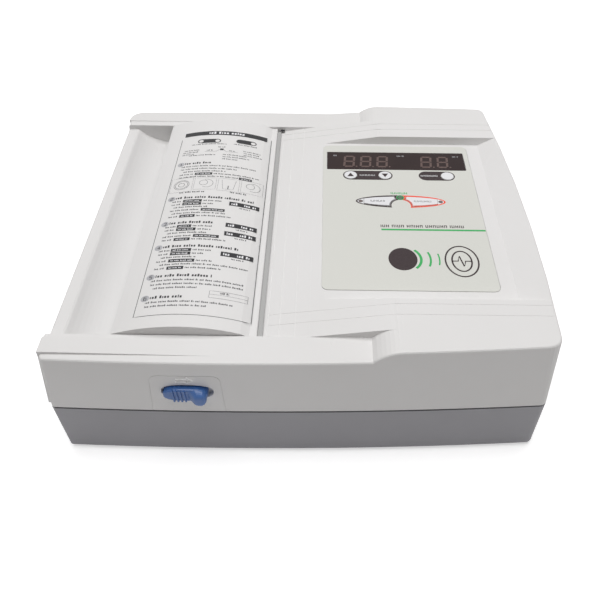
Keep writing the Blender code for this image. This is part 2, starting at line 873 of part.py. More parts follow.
def shell_hollows():
    """Clears the inside of the shell under the bars, the panel, the trough and the plateau."""
    inner = wall + shell_draft
    stations = plain_stations()

    def hollow(name, left, low, high, extra=0.0):
        places = plain_stations(left, 7)
        insets = (inner + extra, inner + extra, inner + extra, 0.0)
        flat = outline(insets, corners_in(inner + extra), places, left, front_top_arc_radius)
        return guide(name, loft([[(x, y, low) for x, y in flat], [(x, y, high) for x, y in flat]]))

    flat = outline(all_round(wall), corners_in(wall), stations)
    lower = [(x, y, parting_z - cut_over) for x, y in flat]
    flat = outline(all_round(inner), corners_in(wall), stations)
    upper = [(x, y, bay_floor_z) for x, y in flat]
    trough_left = rim_x + wall
    trough_right = cover_left_x - 2 * wall
    under_trough = [(trough_left, bay_floor_z - cut_over)]
    roof_z = rim_z - wall
    under_trough += [(x, min(z, roof_z)) for x, z in trough_arc(wall, trough_left, trough_right, 12)]
    under_trough += [(trough_right, bay_floor_z - cut_over)]
    right_wall = groove_right_x + wall
    tools = [
        guide("lower_hollow", loft([lower, upper])),
        hollow("low_hollow", right_wall, bay_floor_z - cut_over, low_ceiling_z),
        hollow("panel_hollow", panel_left_x, low_ceiling_z - cut_over, shell_ceiling_z, seat_gap / 3),
        guide("trough_hollow", prism(under_trough, "Y", front_y + 2 * inner, back_y - 2 * inner)),
        guide("front_bar_hollow", prism(
            [(x, front_line(x) + inner) for x in spread(trough_left, right_wall + wall, 7)]
            + [(right_wall + wall, bar_front_y - wall), (trough_left, bar_front_y - wall)],
            "Z", bay_floor_z - cut_over, low_ceiling_z)),
        guide("back_bar_hollow", block(
            (trough_left, bar_back_y + wall, bay_floor_z - cut_over),
            (right_wall + wall, back_y - 1.4 * inner, low_ceiling_z))),
        guide("front_plateau_hollow", block(
            (bar_step_top_x + wall, front_y + 4 * inner, low_ceiling_z),
            (panel_right_x, panel_front_y - panel_front_bank - wall, plateau_z - wall))),
        guide("back_plateau_hollow", block(
            (bar_step_top_x + wall, panel_back_y + 2 * wall, low_ceiling_z),
            (panel_right_x, back_y - 2.2 * inner, plateau_z - wall))),
    ]
    return tools


def screw_places():
    right = half_width - screw_inset_x - screw_right_extra_x
    left = shell_left_x + screw_inset_x
    return {
        "front_left": (left, front_y + screw_inset_y),
        "back_left": (left, back_y - screw_inset_y),
        "front_right": (right, front_y + screw_inset_y + screw_right_extra_y),
        "back_right": (right, back_y - screw_inset_y - screw_right_extra_y / 2),
    }


def key_places():
    """Where the five keys and three lamps sit, by name."""
    def at(place):
        return (overlay_left_x + place[0], overlay_front_y + place[1])
    return {
        "key_volume_up": at(key_up_place),
        "key_volume_down": at(key_down_place),
        "key_reference": at(key_reference_place),
        "wings": at(wing_centre_place),
    }


def wing_outline(side, grow=0.0):
    """A wing-shaped key: one half of a long ellipse, bitten out inside; side is -1 for left, 1 for right."""
    centre = key_places()["wings"]
    long_half = wing_half_length - wing_border + grow
    short_half = wing_half_height - wing_border + grow
    bite = wing_bite_radius + wing_border - grow
    notch = wing_notch_radius + wing_border - grow
    reach = wing_key_reach + grow

    def edge(u):
        return short_half * math.sqrt(1 - (u / long_half) ** 2)

    top_u = math.sqrt(notch ** 2 - (short_half - wing_notch_rise) ** 2)
    meet_v = (bite ** 2 - notch ** 2 + wing_notch_rise ** 2 - wing_bite_drop ** 2) / (
        2 * (wing_notch_rise + wing_bite_drop))
    meet_u = math.sqrt(bite ** 2 - (meet_v + wing_bite_drop) ** 2)
    low_u = math.sqrt(bite ** 2 - (wing_bite_drop - short_half) ** 2)
    points = [(u, edge(u)) for u in spread(reach, top_u, wing_points)]
    start = math.atan2(edge(top_u) - wing_notch_rise, top_u)
    end = math.atan2(meet_v - wing_notch_rise, meet_u)
    points += arc((0.0, wing_notch_rise), notch, start, end, 3)[1:]
    start = math.atan2(meet_v + wing_bite_drop, meet_u)
    end = math.atan2(wing_bite_drop - edge(low_u), low_u)
    points += arc((0.0, -wing_bite_drop), bite, start, end, 4)[1:]
    points += [(u, -edge(u)) for u in spread(low_u, reach, wing_points)[1:]]
    return [(centre[0] + side * u, centre[1] + v) for u, v in points]


def lamp_places():
    centre = key_places()["wings"]
    return {
        "lamp_alarm": (centre[0] - lamp_reach, centre[1]),
        "lamp_record": (centre[0] + lamp_reach, centre[1]),
    }


def power_lamp_place():
    centre = key_places()["wings"]
    return (centre[0], centre[1] + wing_notch_rise)


def digit_boxes(grow=0.0):
    top = overlay_back_y - digit_back_offset
    left = overlay_left_x + digit_left_offset - digit_margin
    right = overlay_left_x + digit_right_offset - digit_margin
    low = top - digit_height
    boxes = {}
    for name, start, count in (("digits_three", left, 3), ("digits_two", right, 2)):
        boxes[name] = (
            (start - grow, low - digit_margin / 2 - grow),
            (start + count * digit_pitch + digit_margin / 2 + grow, top + digit_margin / 2 + grow),
        )
    return boxes


def hinge_hole():
    """A small square well at the back end of the groove, which shows as a dark hole."""
    high_y = bar_back_y
    return guide("hinge_hole", block(
        (groove_right_x - groove_width / 4, high_y - hinge_hole_length,
        low_z - groove_drop - hinge_hole_depth),
        (groove_right_x + hinge_hole_width, high_y, low_z + cut_over)))


def latch_plate_outline(grow=0.0, low=parting_z):
    """The plate's face outline: slightly wider at the foot, with rounded top corners."""
    top = parting_z + latch_plate_height + grow
    low_half = latch_plate_width / 2 + latch_plate_taper + grow
    half = latch_plate_width / 2 - latch_plate_taper + grow
    radius = latch_plate_corner + grow
    points = [(latch_plate_x - low_half, low), (latch_plate_x + low_half, low)]
    points += arc((latch_plate_x + half - radius, top - radius), radius, 0.0, math.pi / 2, 4)
    points += arc((latch_plate_x - half + radius, top - radius), radius, math.pi / 2, math.pi, 4)
    return points


def build_top_shell():
    shell = make("top_shell", shell_form(), white_plastic)
    front_pad_back = bar_front_y - front_pad_setback
    back_pad_front = bar_back_y + back_pad_setback
    add(shell, ramp_form())
    add(shell, pad_form(
        "front_pad", left_x + end_block_lean, pad_rise, front_pad_back - front_pad_depth, front_pad_back,
        front_pad_setback / 2))
    add(shell, pad_form(
        "back_pad", rim_x - seat_gap, back_pad_rise, back_pad_front, back_pad_front + back_pad_depth,
        pad_corner))
    add(shell, end_block())
    cut(shell, bay_cutter(), panel_cutter(), *deck_lines())
    cut(shell, *shell_hollows())
    cut(shell, rebate_cutter())
    for name, (x, y) in screw_places().items():
        roof = low_z if "left" in name else plateau_z
        add(shell, guide("boss_" + name, rod(
            (x, y, 0), "Z", boss_radius, parting_z + seat_gap, roof - wall / 2, small_sides)))
        cut(shell, guide("pilot_" + name, rod(
            (x, y, 0), "Z", screw_radius + bore_gap, parting_z - cut_over,
            screw_seat_z + screw_length + cut_over,
            small_sides)))
    cut(shell, hinge_hole())
    cut(shell, *hinge_pin_bores("shell"))
    cut_panel_openings(shell)
    below = parting_z - cut_over
    cut(shell, guide("latch_seat", prism(
        latch_plate_outline(running_gap, below), "Y", front_y - latch_nose_proud, lap_y + running_gap)))
    cut(shell, guide("latch_window", prism(
        latch_plate_outline(-latch_lap, below), "Y", lap_y, front_y + 2 * inner_reach())))
    cut(shell, guide("tongue_window", block(
        (tongue_left() - running_gap * 2, bar_front_y - wall - cut_over, tongue_z() - running_gap * 2),
        (tongue_left() + latch_tongue_width + latch_travel + running_gap * 2, bar_front_y + cut_over,
         tongue_z() + latch_tongue_height + running_gap * 2))))
    for x, y in board_posts():
        add(shell, guide("board_post", rod(
            (x, y, 0), "Z", board_post_radius, board_top_z + seat_gap, shell_ceiling_z + wall / 3,
            small_sides)))
    return shell


def rebate_cutter():
    """Room for the tray's tongue inside the lower rim."""
    flat = outline(all_round(tongue_setback - running_gap), corners_in(0.0, 0.0), plain_stations())
    top = parting_z + tongue_height + 2 * running_gap
    return guide("rebate", loft([
        [(x, y, parting_z - cut_over) for x, y in flat], [(x, y, top) for x, y in flat]]))


def inner_reach():
    return wall + shell_draft


def hinge_pin_spans():
    """Where the two pins run along Y: from half the bar's wall into the end of the cover's flange."""
    reach = wall / 2
    return {
        "front": (bar_front_y - reach, cover_front_y + hinge_seat_length),
        "back": (cover_back_y - hinge_seat_length, bar_back_y + reach),
    }


def hinge_pin_bores(owner):
    radius = hinge_pin_radius + bore_gap
    return [
        guide(owner + "_pin_bore_" + name, rod((hinge_x, 0, hinge_z), "Y", radius, low, high, small_sides))
        for name, (low, high) in hinge_pin_spans().items()
    ]


def cut_panel_openings(shell):
    """The overlay's shallow seat, and holes for digits, key stems and lamps."""
    low = (overlay_left_x - seat_gap, overlay_front_y - seat_gap)
    high = (overlay_right_x + seat_gap, overlay_back_y + seat_gap)
    sky = plateau_z + cut_over
    deep = shell_ceiling_z - cut_over
    seat = rounded_rectangle(low, high, overlay_corner + seat_gap, 4)
    cut(shell, guide("overlay_seat", prism(seat, "Z", overlay_seat_z, sky)))
    for name, (a, b) in digit_boxes(running_gap).items():
        cut(shell, guide(name + "_opening", block((*a, deep), (*b, panel_z + cut_over))))
    radius = key_stem_radius + running_gap
    for name, (x, y) in stem_places().items():
        cut(shell, guide(name + "_hole", rod((x, y, 0), "Z", radius, deep, panel_z + cut_over, small_sides)))
    for name, (x, y) in lamp_places().items():
        cut(shell, guide(name + "_hole", rod(
            (x, y, 0), "Z", lamp_radius + running_gap, deep, panel_z + cut_over, small_sides)))
    cut(shell, guide("lamp_power_hole", rod(
        (*power_lamp_place(), 0), "Z", power_lamp_radius + running_gap, deep, panel_z + cut_over,
        small_sides)))


def stem_places():
    places = key_places()
    centre = places.pop("wings")
    places["key_alarm"] = (centre[0] - wing_stem_reach, centre[1])
    places["key_record"] = (centre[0] + wing_stem_reach, centre[1])
    return places


def board_posts():
    left, right = board_left_x + 3 * board_post_radius, overlay_right_x - 3 * board_post_radius
    low, high = board_front_y() + 3 * board_post_radius, overlay_back_y - 3 * board_post_radius
    return [(left, low), (right, low), (left, high), (right, high)]


def board_front_y():
    return key_places()["wings"][1] - 4 * wing_half_height


# Panel pieces

def build_panel():
    low = (overlay_left_x, overlay_front_y)
    high = (overlay_right_x, overlay_back_y)
    sheet = make("control_overlay", prism(
        rounded_rectangle(low, high, overlay_corner, 4), "Z", overlay_z, overlay_top_z), panel_film)
    window_low = (overlay_left_x + window_side_margin, overlay_back_y - window_back_margin - window_length)
    window_high = (window_low[0] + window_width, overlay_back_y - window_back_margin)

    def hole(name, form):
        cut(sheet, guide("overlay_" + name, form))

    def through(points):
        return prism(points, "Z", overlay_z - cut_over, overlay_top_z + cut_over)

    grown_low = tuple(value - seat_gap for value in window_low)
    grown_high = tuple(value + seat_gap for value in window_high)
    hole("window", through(rounded_rectangle(grown_low, grown_high, window_corner + seat_gap)))
    make("display_window", prism(
        rounded_rectangle(window_low, window_high, window_corner), "Z", overlay_z,
        overlay_top_z - seat_gap / 3), window_film)
    cap_low = overlay_seat_z + key_travel + seat_gap / 3
    cap_high = cap_low + key_cap_thickness
    stem_low = board_top_z + switch_height + key_travel + seat_gap
    for name, (x, y) in stem_places().items():
        if name in ("key_alarm", "key_record"):
            side = -1 if name == "key_alarm" else 1
            cap = prism(wing_outline(side), "Z", cap_low, cap_high)
            grown = wing_outline(side, running_gap)
        else:
            cap = rod((x, y, 0), "Z", key_radius, cap_low, cap_high, 28)
            grown = arc((x, y), key_radius + running_gap, 0.0, full_turn * 27 / 28, 27)
        hole(name, through(grown))
        key = make(name, cap, key_white)
        add(key, guide(name + "_stem", rod(
            (x, y, 0), "Z", key_stem_radius, stem_low, cap_low + key_cap_thickness / 2, small_sides)))
    for name, (x, y) in lamp_places().items():
        hole(name, rod((x, y, 0), "Z", lamp_radius + seat_gap, overlay_z - cut_over,
            overlay_top_z + cut_over))
        make(name, rod((x, y, 0), "Z", lamp_radius, board_top_z + seat_gap, overlay_top_z, small_sides),
             red_lens)
    middle = (*power_lamp_place(), 0)
    hole("lamp_power", rod(
        middle, "Z", power_lamp_radius + seat_gap, overlay_z - cut_over, overlay_top_z + cut_over,
        small_sides))
    make("lamp_power", rod(
        middle, "Z", power_lamp_radius, board_top_z + seat_gap, overlay_top_z, small_sides), green_lens)
    for name, (a, b) in digit_boxes().items():
        make(name, block((*a, board_top_z + seat_gap), (*b, overlay_seat_z - seat_gap)), digit_lens)


def build_control_board():
    board = make("control_board", block(
        (board_left_x, board_front_y(), board_top_z - board_thickness),
        (overlay_right_x, overlay_back_y, board_top_z)), board_green)
    half = switch_side / 2
    for name, (x, y) in stem_places().items():
        add(board, guide(name + "_switch", block(
            (x - half, y - half, board_top_z - board_thickness / 2),
            (x + half, y + half, board_top_z + switch_height))))
    return board


# Printer cover and hinge

def cover_arc(radius, start_x, end_x, steps):
    return [
        (x, cover_centre_z + math.sqrt(radius ** 2 - (x - cover_mid_x) ** 2))
        for x in spread(start_x, end_x, steps)
    ]


def cover_inner_z(x):
    """Height of the cover's underside at a place along the width."""
    return cover_centre_z + math.sqrt((cover_radius - cover_thickness) ** 2 - (x - cover_mid_x) ** 2)


def head_post_places():
    length = cover_back_y - cover_front_y
    return {
        "front": cover_front_y + head_post_share * length,
        "back": cover_back_y - (head_post_share * length + gear_room),
    }


def build_cover():
    inner = cover_radius - cover_thickness
    outer_points = cover_arc(cover_radius, cover_left_x, cover_arch_right_x, 17)
    inner_points = cover_arc(inner, cover_left_x, cover_arch_right_x - cover_thickness, 17)
    flange = arc((hinge_x, hinge_z), cover_thickness / 2, math.pi / 2, -math.pi / 2, 8)
    sheet = outer_points[:-1] + [(cover_arch_right_x, flange_top_z)] + flange
    sheet += [(cover_arch_right_x - cover_thickness, flange_top_z - cover_thickness)]
    sheet += list(reversed(inner_points[:-1]))
    cover = make("printer_cover", prism(sheet, "Y", cover_front_y, cover_back_y), white_plastic)
    skirt_low = flange_top_z - cover_skirt / 2
    inside = cover_arc(cover_radius - cover_thickness / 2, cover_left_x + cover_thickness / 4,
                       cover_arch_right_x - cover_thickness, 13)
    end_wall = [(cover_left_x + cover_thickness / 4, skirt_low), (inside[-1][0], skirt_low)]
    end_wall += list(reversed(inside))
    for name, low, high in (
        ("front", cover_front_y, cover_front_y + cover_thickness),
        ("back", cover_back_y - cover_thickness, cover_back_y),
    ):
        add(cover, guide("cover_end_" + name, prism(end_wall, "Y", low, high)))
    rib_start = platen_x() + head_width / 2 + 2 * running_gap + cover_thickness
    rib_end = cover_arch_right_x - 2 * cover_thickness
    rib = cover_arc(cover_radius - cover_thickness / 2, rib_start, rib_end, 8)
    rib += list(reversed(cover_arc(inner - cover_rib_depth, rib_start, rib_end, 8)))
    for share in cover_rib_share:
        middle = cover_front_y + share * (cover_back_y - cover_front_y)
        add(cover, guide("cover_rib", prism(
            rib, "Y", middle - cover_rib_thickness / 2, middle + cover_rib_thickness / 2)))
    for name, y in head_post_places().items():
        seat_z = head_seat_z()
        roof = cover_inner_z(platen_x() - head_seat_radius) + cover_thickness / 2
        post = [(head_post_radius, head_low_z() + seat_gap), (head_post_radius, seat_z),
                (head_seat_radius, seat_z), (head_seat_radius, roof)]
        add(cover, guide("head_post_" + name, turned(post, (platen_x(), y, 0), "Z", small_sides)))
    foot_right = tongue_left() - latch_hook_gap
    foot_low = tongue_z() - seat_gap - latch_hook_height
    foot_top = foot_low + latch_hook_height
    hook_left = foot_right - latch_hook_width
    strip_right = hook_left + latch_hook_width / 2
    strip_top = skirt_low + wall
    hook = [
        (hook_left, strip_top), (hook_left, foot_low), (foot_right, foot_low), (foot_right, foot_top),
        (strip_right, foot_top), (strip_right, strip_top),
    ]
    add(cover, guide("cover_hook", prism(hook, "Y", cover_front_y, cover_front_y + cover_thickness)))
    cut(cover, *hinge_pin_bores("cover"))
    return cover


def build_hinge_pins():
    for name, (low, high) in hinge_pin_spans().items():
        make("hinge_pin_" + name, rod(
            (hinge_x, 0, hinge_z), "Y", hinge_pin_radius, low + bore_gap, high - bore_gap, small_sides),
            steel)


# Latch

def latch_flange_y():
    return (front_y + latch_face_inset) + wall + shell_draft + running_gap


def carriage_y():
    return latch_flange_y() + latch_flange_thickness + running_gap


def button_left():
    return latch_slot_x - latch_slot_width / 2 + latch_button_lead


def tongue_left():
    return button_left() + latch_button_width / 4


def tongue_z():
    return latch_slot_z + latch_tongue_rise


def round_ended(width, height, x, z, grow=0.0, steps=10):
    """A long outline with full rounded ends."""
    half = width / 2 + grow
    rise = height / 2 + grow
    points = []
    for i in range(2 * steps):
        angle = math.pi * (i + 0.5) / steps
        reach = math.copysign(abs(math.cos(angle)) ** round_end_power, math.cos(angle))
        lift = math.copysign(abs(math.sin(angle)) ** round_end_power, math.sin(angle))
        points.append((x + half * reach, z + rise * lift))
    return points


def build_latch():
    build_latch_plate()
    build_latch_slider()
    spring_y = carriage_y() + latch_carriage_thickness / 2
    coil("latch_spring", (carriage_right() + seat_gap, spring_y, latch_slot_z), "X", latch_spring_radius / 2,
         latch_spring_wire, latch_spring_turns, latch_spring_length, steel)


def rail_levels():
    reach = latch_carriage_height / 2 + running_gap
    return latch_slot_z - reach - latch_rail_height, latch_slot_z + reach


def rail_reach():
    return carriage_y() + latch_carriage_thickness + running_gap


def build_latch_plate():
    """The plate laps into the front face; rails behind it carry the slider, and a stop backs its spring."""
    flange_y = latch_flange_y()
    inset = latch_lap + running_gap
    plate = make("latch_plate", prism(latch_plate_outline(), "Y", front_y - cut_over, lap_y), white_plastic)
    add(plate, guide("latch_inner", prism(
        latch_plate_outline(-inset), "Y", lap_y - latch_lap_depth / 2,
        flange_y + latch_flange_thickness / 2)))
    combine(plate, "INTERSECT", [guide("front_form", shell_form())])
    cut(plate, rebate_cutter())
    top = parting_z + latch_plate_height - inset - running_gap
    half = latch_plate_width / 2 - latch_plate_taper - inset - running_gap
    stop_x = carriage_right() + latch_spring_length + latch_travel + seat_gap * 2
    left = latch_plate_x - half
    right = max(latch_plate_x + half, stop_x + latch_stop_thickness)
    flange_low = parting_z + tongue_height + 4 * running_gap
    add(plate, guide("latch_flange", block(
        (left, flange_y, flange_low), (right, flange_y + latch_flange_thickness, top))))
    low_rail, high_rail = rail_levels()
    rail_start = flange_y + latch_flange_thickness / 2
    for name, z in (("low", low_rail), ("high", high_rail)):
        add(plate, guide("latch_rail_" + name, block(
            (left, rail_start, z), (right, rail_reach(), z + latch_rail_height))))
    add(plate, guide("latch_stop", block(
        (stop_x, rail_start, low_rail + latch_rail_height / 2),
        (stop_x + latch_stop_thickness, rail_reach(), high_rail + latch_rail_height / 2))))
    cut(plate, guide("latch_slot", prism(
        round_ended(latch_slot_width, latch_slot_height, latch_slot_x, latch_slot_z), "Y",
        front_y - cut_over, flange_y)))
    neck_left, neck_right = neck_span()
    neck_half = latch_neck_height / 2 + running_gap
    cut(plate, guide("latch_neck_slot", block(
        (neck_left - running_gap, flange_y - cut_over, latch_slot_z - neck_half),
        (neck_right + latch_travel + running_gap, rail_start + latch_flange_thickness,
        latch_slot_z + neck_half))))
    return plate


def neck_span():
    return button_left() + latch_neck_inset, button_left() + latch_button_width - latch_neck_inset


def build_latch_slider():
    """A finger button with four ridges and a domed nose, on a carriage that moves the locking tongue."""
    button_height = latch_slot_height - 2 * latch_button_margin
    middle = button_left() + latch_button_width / 2
    face = (front_y + latch_face_inset) - latch_button_proud
    back = latch_flange_y() - running_gap
    edge = latch_button_edge
    centre_z = latch_slot_z - latch_button_drop
    body = []
    for y, inset in ((back, 0.0), (face + edge, 0.0), (face + edge / 3, edge / 4), (face, edge)):
        body.append([(x, y, z) for x, z in round_ended(latch_button_width, button_height, middle, centre_z,
            -inset)])
    slider = make("latch_slider", loft(body), blue_plastic)
    nose_right = button_left() + latch_button_width - seat_gap
    nose_root = face + edge
    nose_height = latch_nose_proud - latch_button_proud + edge
    nose = []
    for degrees in (0, 12, 25, 40, 55, 68, 79, 87):
        angle = math.radians(degrees)
        out = math.sin(angle)
        size = math.cos(angle) ** nose_round_power
        inset = latch_nose_width * (1 - size) / 2
        width = latch_nose_width * size + latch_nose_sweep * (1 - out) ** 2
        tall = (button_height - seat_gap) * size
        nose.append([
            (x, nose_root - nose_height * out, z)
            for x, z in round_ended(width, tall, nose_right - inset - width / 2,
            centre_z - latch_nose_drop * out)])
    add(slider, guide("latch_nose", loft(nose)))
    ridge_half = button_height / 2 - seat_gap
    lean = latch_ridge_lean / 2
    for i in range(latch_ridge_count):
        x = button_left() + latch_ridge_lead + i * latch_ridge_pitch
        ridge = [(x - lean, ridge_half), (x + lean, -ridge_half),
                 (x + lean + latch_ridge_width, -ridge_half), (x - lean + latch_ridge_width, ridge_half)]
        ridge = [(a, centre_z + b) for a, b in ridge]
        add(slider, guide("latch_ridge", prism(ridge, "Y", face - latch_ridge_height, face + edge)))
    neck_left, neck_right = neck_span()
    add(slider, guide("latch_neck", block(
        (neck_left, back - running_gap, latch_slot_z - latch_neck_height / 2),
        (neck_right, carriage_y() + latch_carriage_thickness / 2, latch_slot_z + latch_neck_height / 2))))
    carriage = block(
        (carriage_left(), carriage_y(), latch_slot_z - latch_carriage_height / 2),
        (carriage_right(), carriage_y() + latch_carriage_thickness, latch_slot_z + latch_carriage_height / 2))
    add(slider, guide("latch_carriage", carriage))
    arm_z = latch_slot_z + latch_carriage_height / 4
    arm_y = carriage_y() + latch_carriage_thickness
    arm_back = arm_y + latch_carriage_thickness
    tongue_right = tongue_left() + latch_tongue_width
    tongue_top = tongue_z() + latch_tongue_height
    carriage_top = latch_slot_z + latch_carriage_height / 2
    for name, low, high in (
        ("foot", (tongue_left(), arm_y - latch_carriage_thickness / 2, arm_z),
        (tongue_right, arm_back, carriage_top)),
        ("post", (tongue_left(), rail_reach() + running_gap, arm_z), (tongue_right, arm_back, tongue_top)),
        ("tongue", (tongue_left(), rail_reach() + running_gap, tongue_z()),
         (tongue_right, cover_front_y + cover_thickness, tongue_top)),
    ):
        add(slider, guide("latch_" + name, block(low, high)))
    return slider


def carriage_left():
    return button_left() + (latch_button_width - latch_carriage_width) / 2


def carriage_right():
    return carriage_left() + latch_carriage_width


# Printer drive

def platen_x():
    return cover_left_x + platen_offset_x


def head_low_z():
    return platen_z + platen_radius + seat_gap + head_strip_thickness


def head_seat_z():
    return cover_inner_z(platen_x() - head_seat_radius) - head_seat_drop


def head_spring_length():
    return head_seat_z() - head_low_z() - head_thickness - seat_gap * 2


def cheek_spans():
    back_high = cover_back_y - gear_room
    front_low = bar_front_y + end_room
    return {"front": (front_low, front_low + cheek_thickness),
        "back": (back_high - cheek_thickness, back_high)}


def idler_z():
    return platen_z - gear_module * (platen_teeth + idler_teeth) / 2


def pinion_z():
    return idler_z() - gear_module * (idler_teeth + pinion_teeth) / 2


def involute(angle):
    return math.tan(angle) - angle


def gear(name, teeth, z, bore, turn, low, look):
    """A spur gear with involute flanks, its teeth thinned by the backlash."""
    pressure = math.radians(20)
    pitch = gear_module * teeth / 2
    base = pitch * math.cos(pressure)
    tip = pitch + gear_module * 0.9
    root = pitch - gear_module * 1.15
    half_pitch_angle = math.pi / (2 * teeth) - gear_backlash / (2 * pitch)
    start = max(base, root + gear_module * 0.1)
    flank = []
    for share in (0.0, 0.5, 1.0):
        radius = start + (tip - start) * share
        local = math.acos(min(base / radius, 1.0))
        flank.append((radius, half_pitch_angle + involute(pressure) - involute(local)))
    points = []
    for tooth in range(teeth):
        centre = turn + full_turn * tooth / teeth
        tooth_points = [(root, -flank[0][1] * 1.08)] + [(r, -a) for r, a in flank]
        tooth_points += [(r, a) for r, a in reversed(flank)] + [(root, flank[0][1] * 1.08)]
        points += [
            (platen_x() + r * math.cos(centre + a), z + r * math.sin(centre + a)) for r, a in tooth_points
        ]
    wheel = make(name, prism(points, "Y", low, low + gear_width), look)
    cut(wheel, guide(name + "_bore", rod(
        (platen_x(), 0, z), "Y", bore + gear_bore_gap, low - cut_over, low + gear_width + cut_over,
        small_sides)))
    return wheel


def build_drive():
    spans = cheek_spans()
    shaft_low = bar_front_y + seat_gap + bore_gap
    shaft_high = bar_back_y - seat_gap - bore_gap
    gear_low = spans["back"][1] + seat_gap
    roller_low = spans["front"][1] + end_room
    roller_high = spans["back"][0] - end_room
    make("platen_shaft", rod(
        (platen_x(), 0, platen_z), "Y", platen_shaft_radius, shaft_low, shaft_high), steel)
    make("platen_roller", tube(
        (platen_x(), 0, platen_z), "Y", platen_shaft_radius + seat_gap, platen_radius, roller_low,
        roller_high),
        rubber)
    down = -math.pi / 2
    gear("platen_gear", platen_teeth, platen_z, platen_shaft_radius, down, gear_low, gear_plastic)
    idler_turn = math.pi / 2 + math.pi / idler_teeth
    gear("idler_gear", idler_teeth, idler_z(), idler_pin_radius, idler_turn, gear_low, gear_plastic)
    lower_gap = idler_turn + full_turn * round((down - idler_turn) * idler_teeth / full_turn
        - 0.5) / idler_teeth
    offset = (down - lower_gap) * idler_teeth - math.pi
    pinion_turn = math.pi / 2 + offset / pinion_teeth
    gear("motor_pinion", pinion_teeth, pinion_z(), motor_shaft_radius, pinion_turn, gear_low, gear_plastic)
    motor_back = spans["back"][0] - seat_gap
    motor = make("feed_motor", turned([
        (motor_radius * 0.55, motor_back - motor_length),
        (motor_radius, motor_back - motor_length + motor_radius * 0.1),
        (motor_radius, motor_back),
    ], (platen_x(), 0, pinion_z()), "Y"), steel)
    shaft_low = motor_back - motor_length / 2
    cut(motor, guide("motor_bore", rod(
        (platen_x(), 0, pinion_z()), "Y", motor_shaft_radius + running_gap, shaft_low - seat_gap,
        motor_back + cut_over, small_sides)))
    make("motor_shaft", rod(
        (platen_x(), 0, pinion_z()), "Y", motor_shaft_radius, shaft_low, gear_low + gear_width,
        small_sides), steel)


def roll_x():
    return cover_left_x + roll_offset_x


def build_frame():
    spans = cheek_spans()
    low = tray_floor_z + seat_gap
    bay_left = platen_x() - platen_radius - wall
    base_left = bay_left - 2 * wall
    cheek_right = roll_x() + roll_radius + cradle_gap + cradle_thickness
    bearing_left = platen_x() - platen_radius
    bearing_right = platen_x() + platen_radius
    cheek = [
        (base_left, low), (cheek_right, low), (cheek_right, roll_z + platen_radius),
        (roll_x() + platen_radius, cheek_mid_z), (bearing_right + wall, cheek_mid_z),
        (bearing_right, cheek_top_z), (bearing_left, cheek_top_z), (bay_left, cheek_mid_z),
        (bay_left, bay_floor_z), (base_left, bay_floor_z - wall),
    ]
    frame = make("printer_frame", prism(cheek, "Y", *spans["front"]), frame_plastic)
    add(frame, guide("back_cheek", prism(cheek, "Y", *spans["back"])))
    half_angle = math.pi * cradle_half_angle_share
    inner = roll_radius + cradle_gap
    bed = arc((roll_x(), roll_z), inner, -math.pi / 2 + half_angle, -math.pi / 2 - half_angle, 12)
    guide_x = bed[-1][0] - cradle_thickness
    bed += [(bed[-1][0], guide_top_z), (guide_x, guide_top_z)]
    bed += arc((roll_x(), roll_z), inner + cradle_thickness, -math.pi / 2 - half_angle,
        -math.pi / 2 + half_angle, 12)
    add(frame, guide("cradle", prism(bed, "Y", spans["front"][1] - cheek_thickness / 2,
                                     spans["back"][0] + cheek_thickness / 2)))
    add(frame, guide("idler_pin", rod(
        (platen_x(), 0, idler_z()), "Y", idler_pin_radius, spans["back"][1] - cheek_thickness / 2,
        spans["back"][1] + seat_gap + gear_width, small_sides)))
    for name, (y_low, y_high) in spans.items():
        ends = (y_low - cut_over, y_high + cut_over)
        cut(frame, guide("shaft_hole_" + name, rod(
            (platen_x(), 0, platen_z), "Y", platen_shaft_radius + running_gap, *ends)))
        slot_radius = spindle_radius + running_gap
        slot = arc((roll_x(), roll_z), slot_radius, math.pi, full_turn, 8)
        slot += [(roll_x() + slot_radius, cheek_top_z + cut_over),
            (roll_x() - slot_radius, cheek_top_z + cut_over)]
        cut(frame, guide("spindle_slot_" + name, prism(slot, "Y", *ends)))
    cut(frame, guide("motor_hole", rod(
        (platen_x(), 0, pinion_z()), "Y", motor_shaft_radius + running_gap, spans["back"][0] - cut_over,
        spans["back"][1] + cut_over, small_sides)))
    return frame


def build_paper():
    spans = cheek_spans()
    low = spans["front"][1] + roll_end_room
    high = spans["back"][0] - roll_end_room
    centre = (roll_x(), 0, roll_z)
    make("paper_roll", tube(centre, "Y", core_outer_radius + seat_gap, roll_radius, low, high, 32), paper)
    make("paper_core", tube(centre, "Y", core_outer_radius - core_wall, core_outer_radius, low, high), card)
    hub = core_outer_radius - core_wall - seat_gap
    ends = (spans["front"][0] + seat_gap, spans["back"][1] - seat_gap)
    make("roll_spindle", turned([
        (spindle_radius, ends[0]), (spindle_radius, low), (hub, low), (hub, low + spindle_hub_length),
        (spindle_radius, low + spindle_hub_length), (spindle_radius, high - spindle_hub_length),
        (hub, high - spindle_hub_length), (hub, high), (spindle_radius, high), (spindle_radius, ends[1]),
    ], centre, "Y"), frame_plastic)


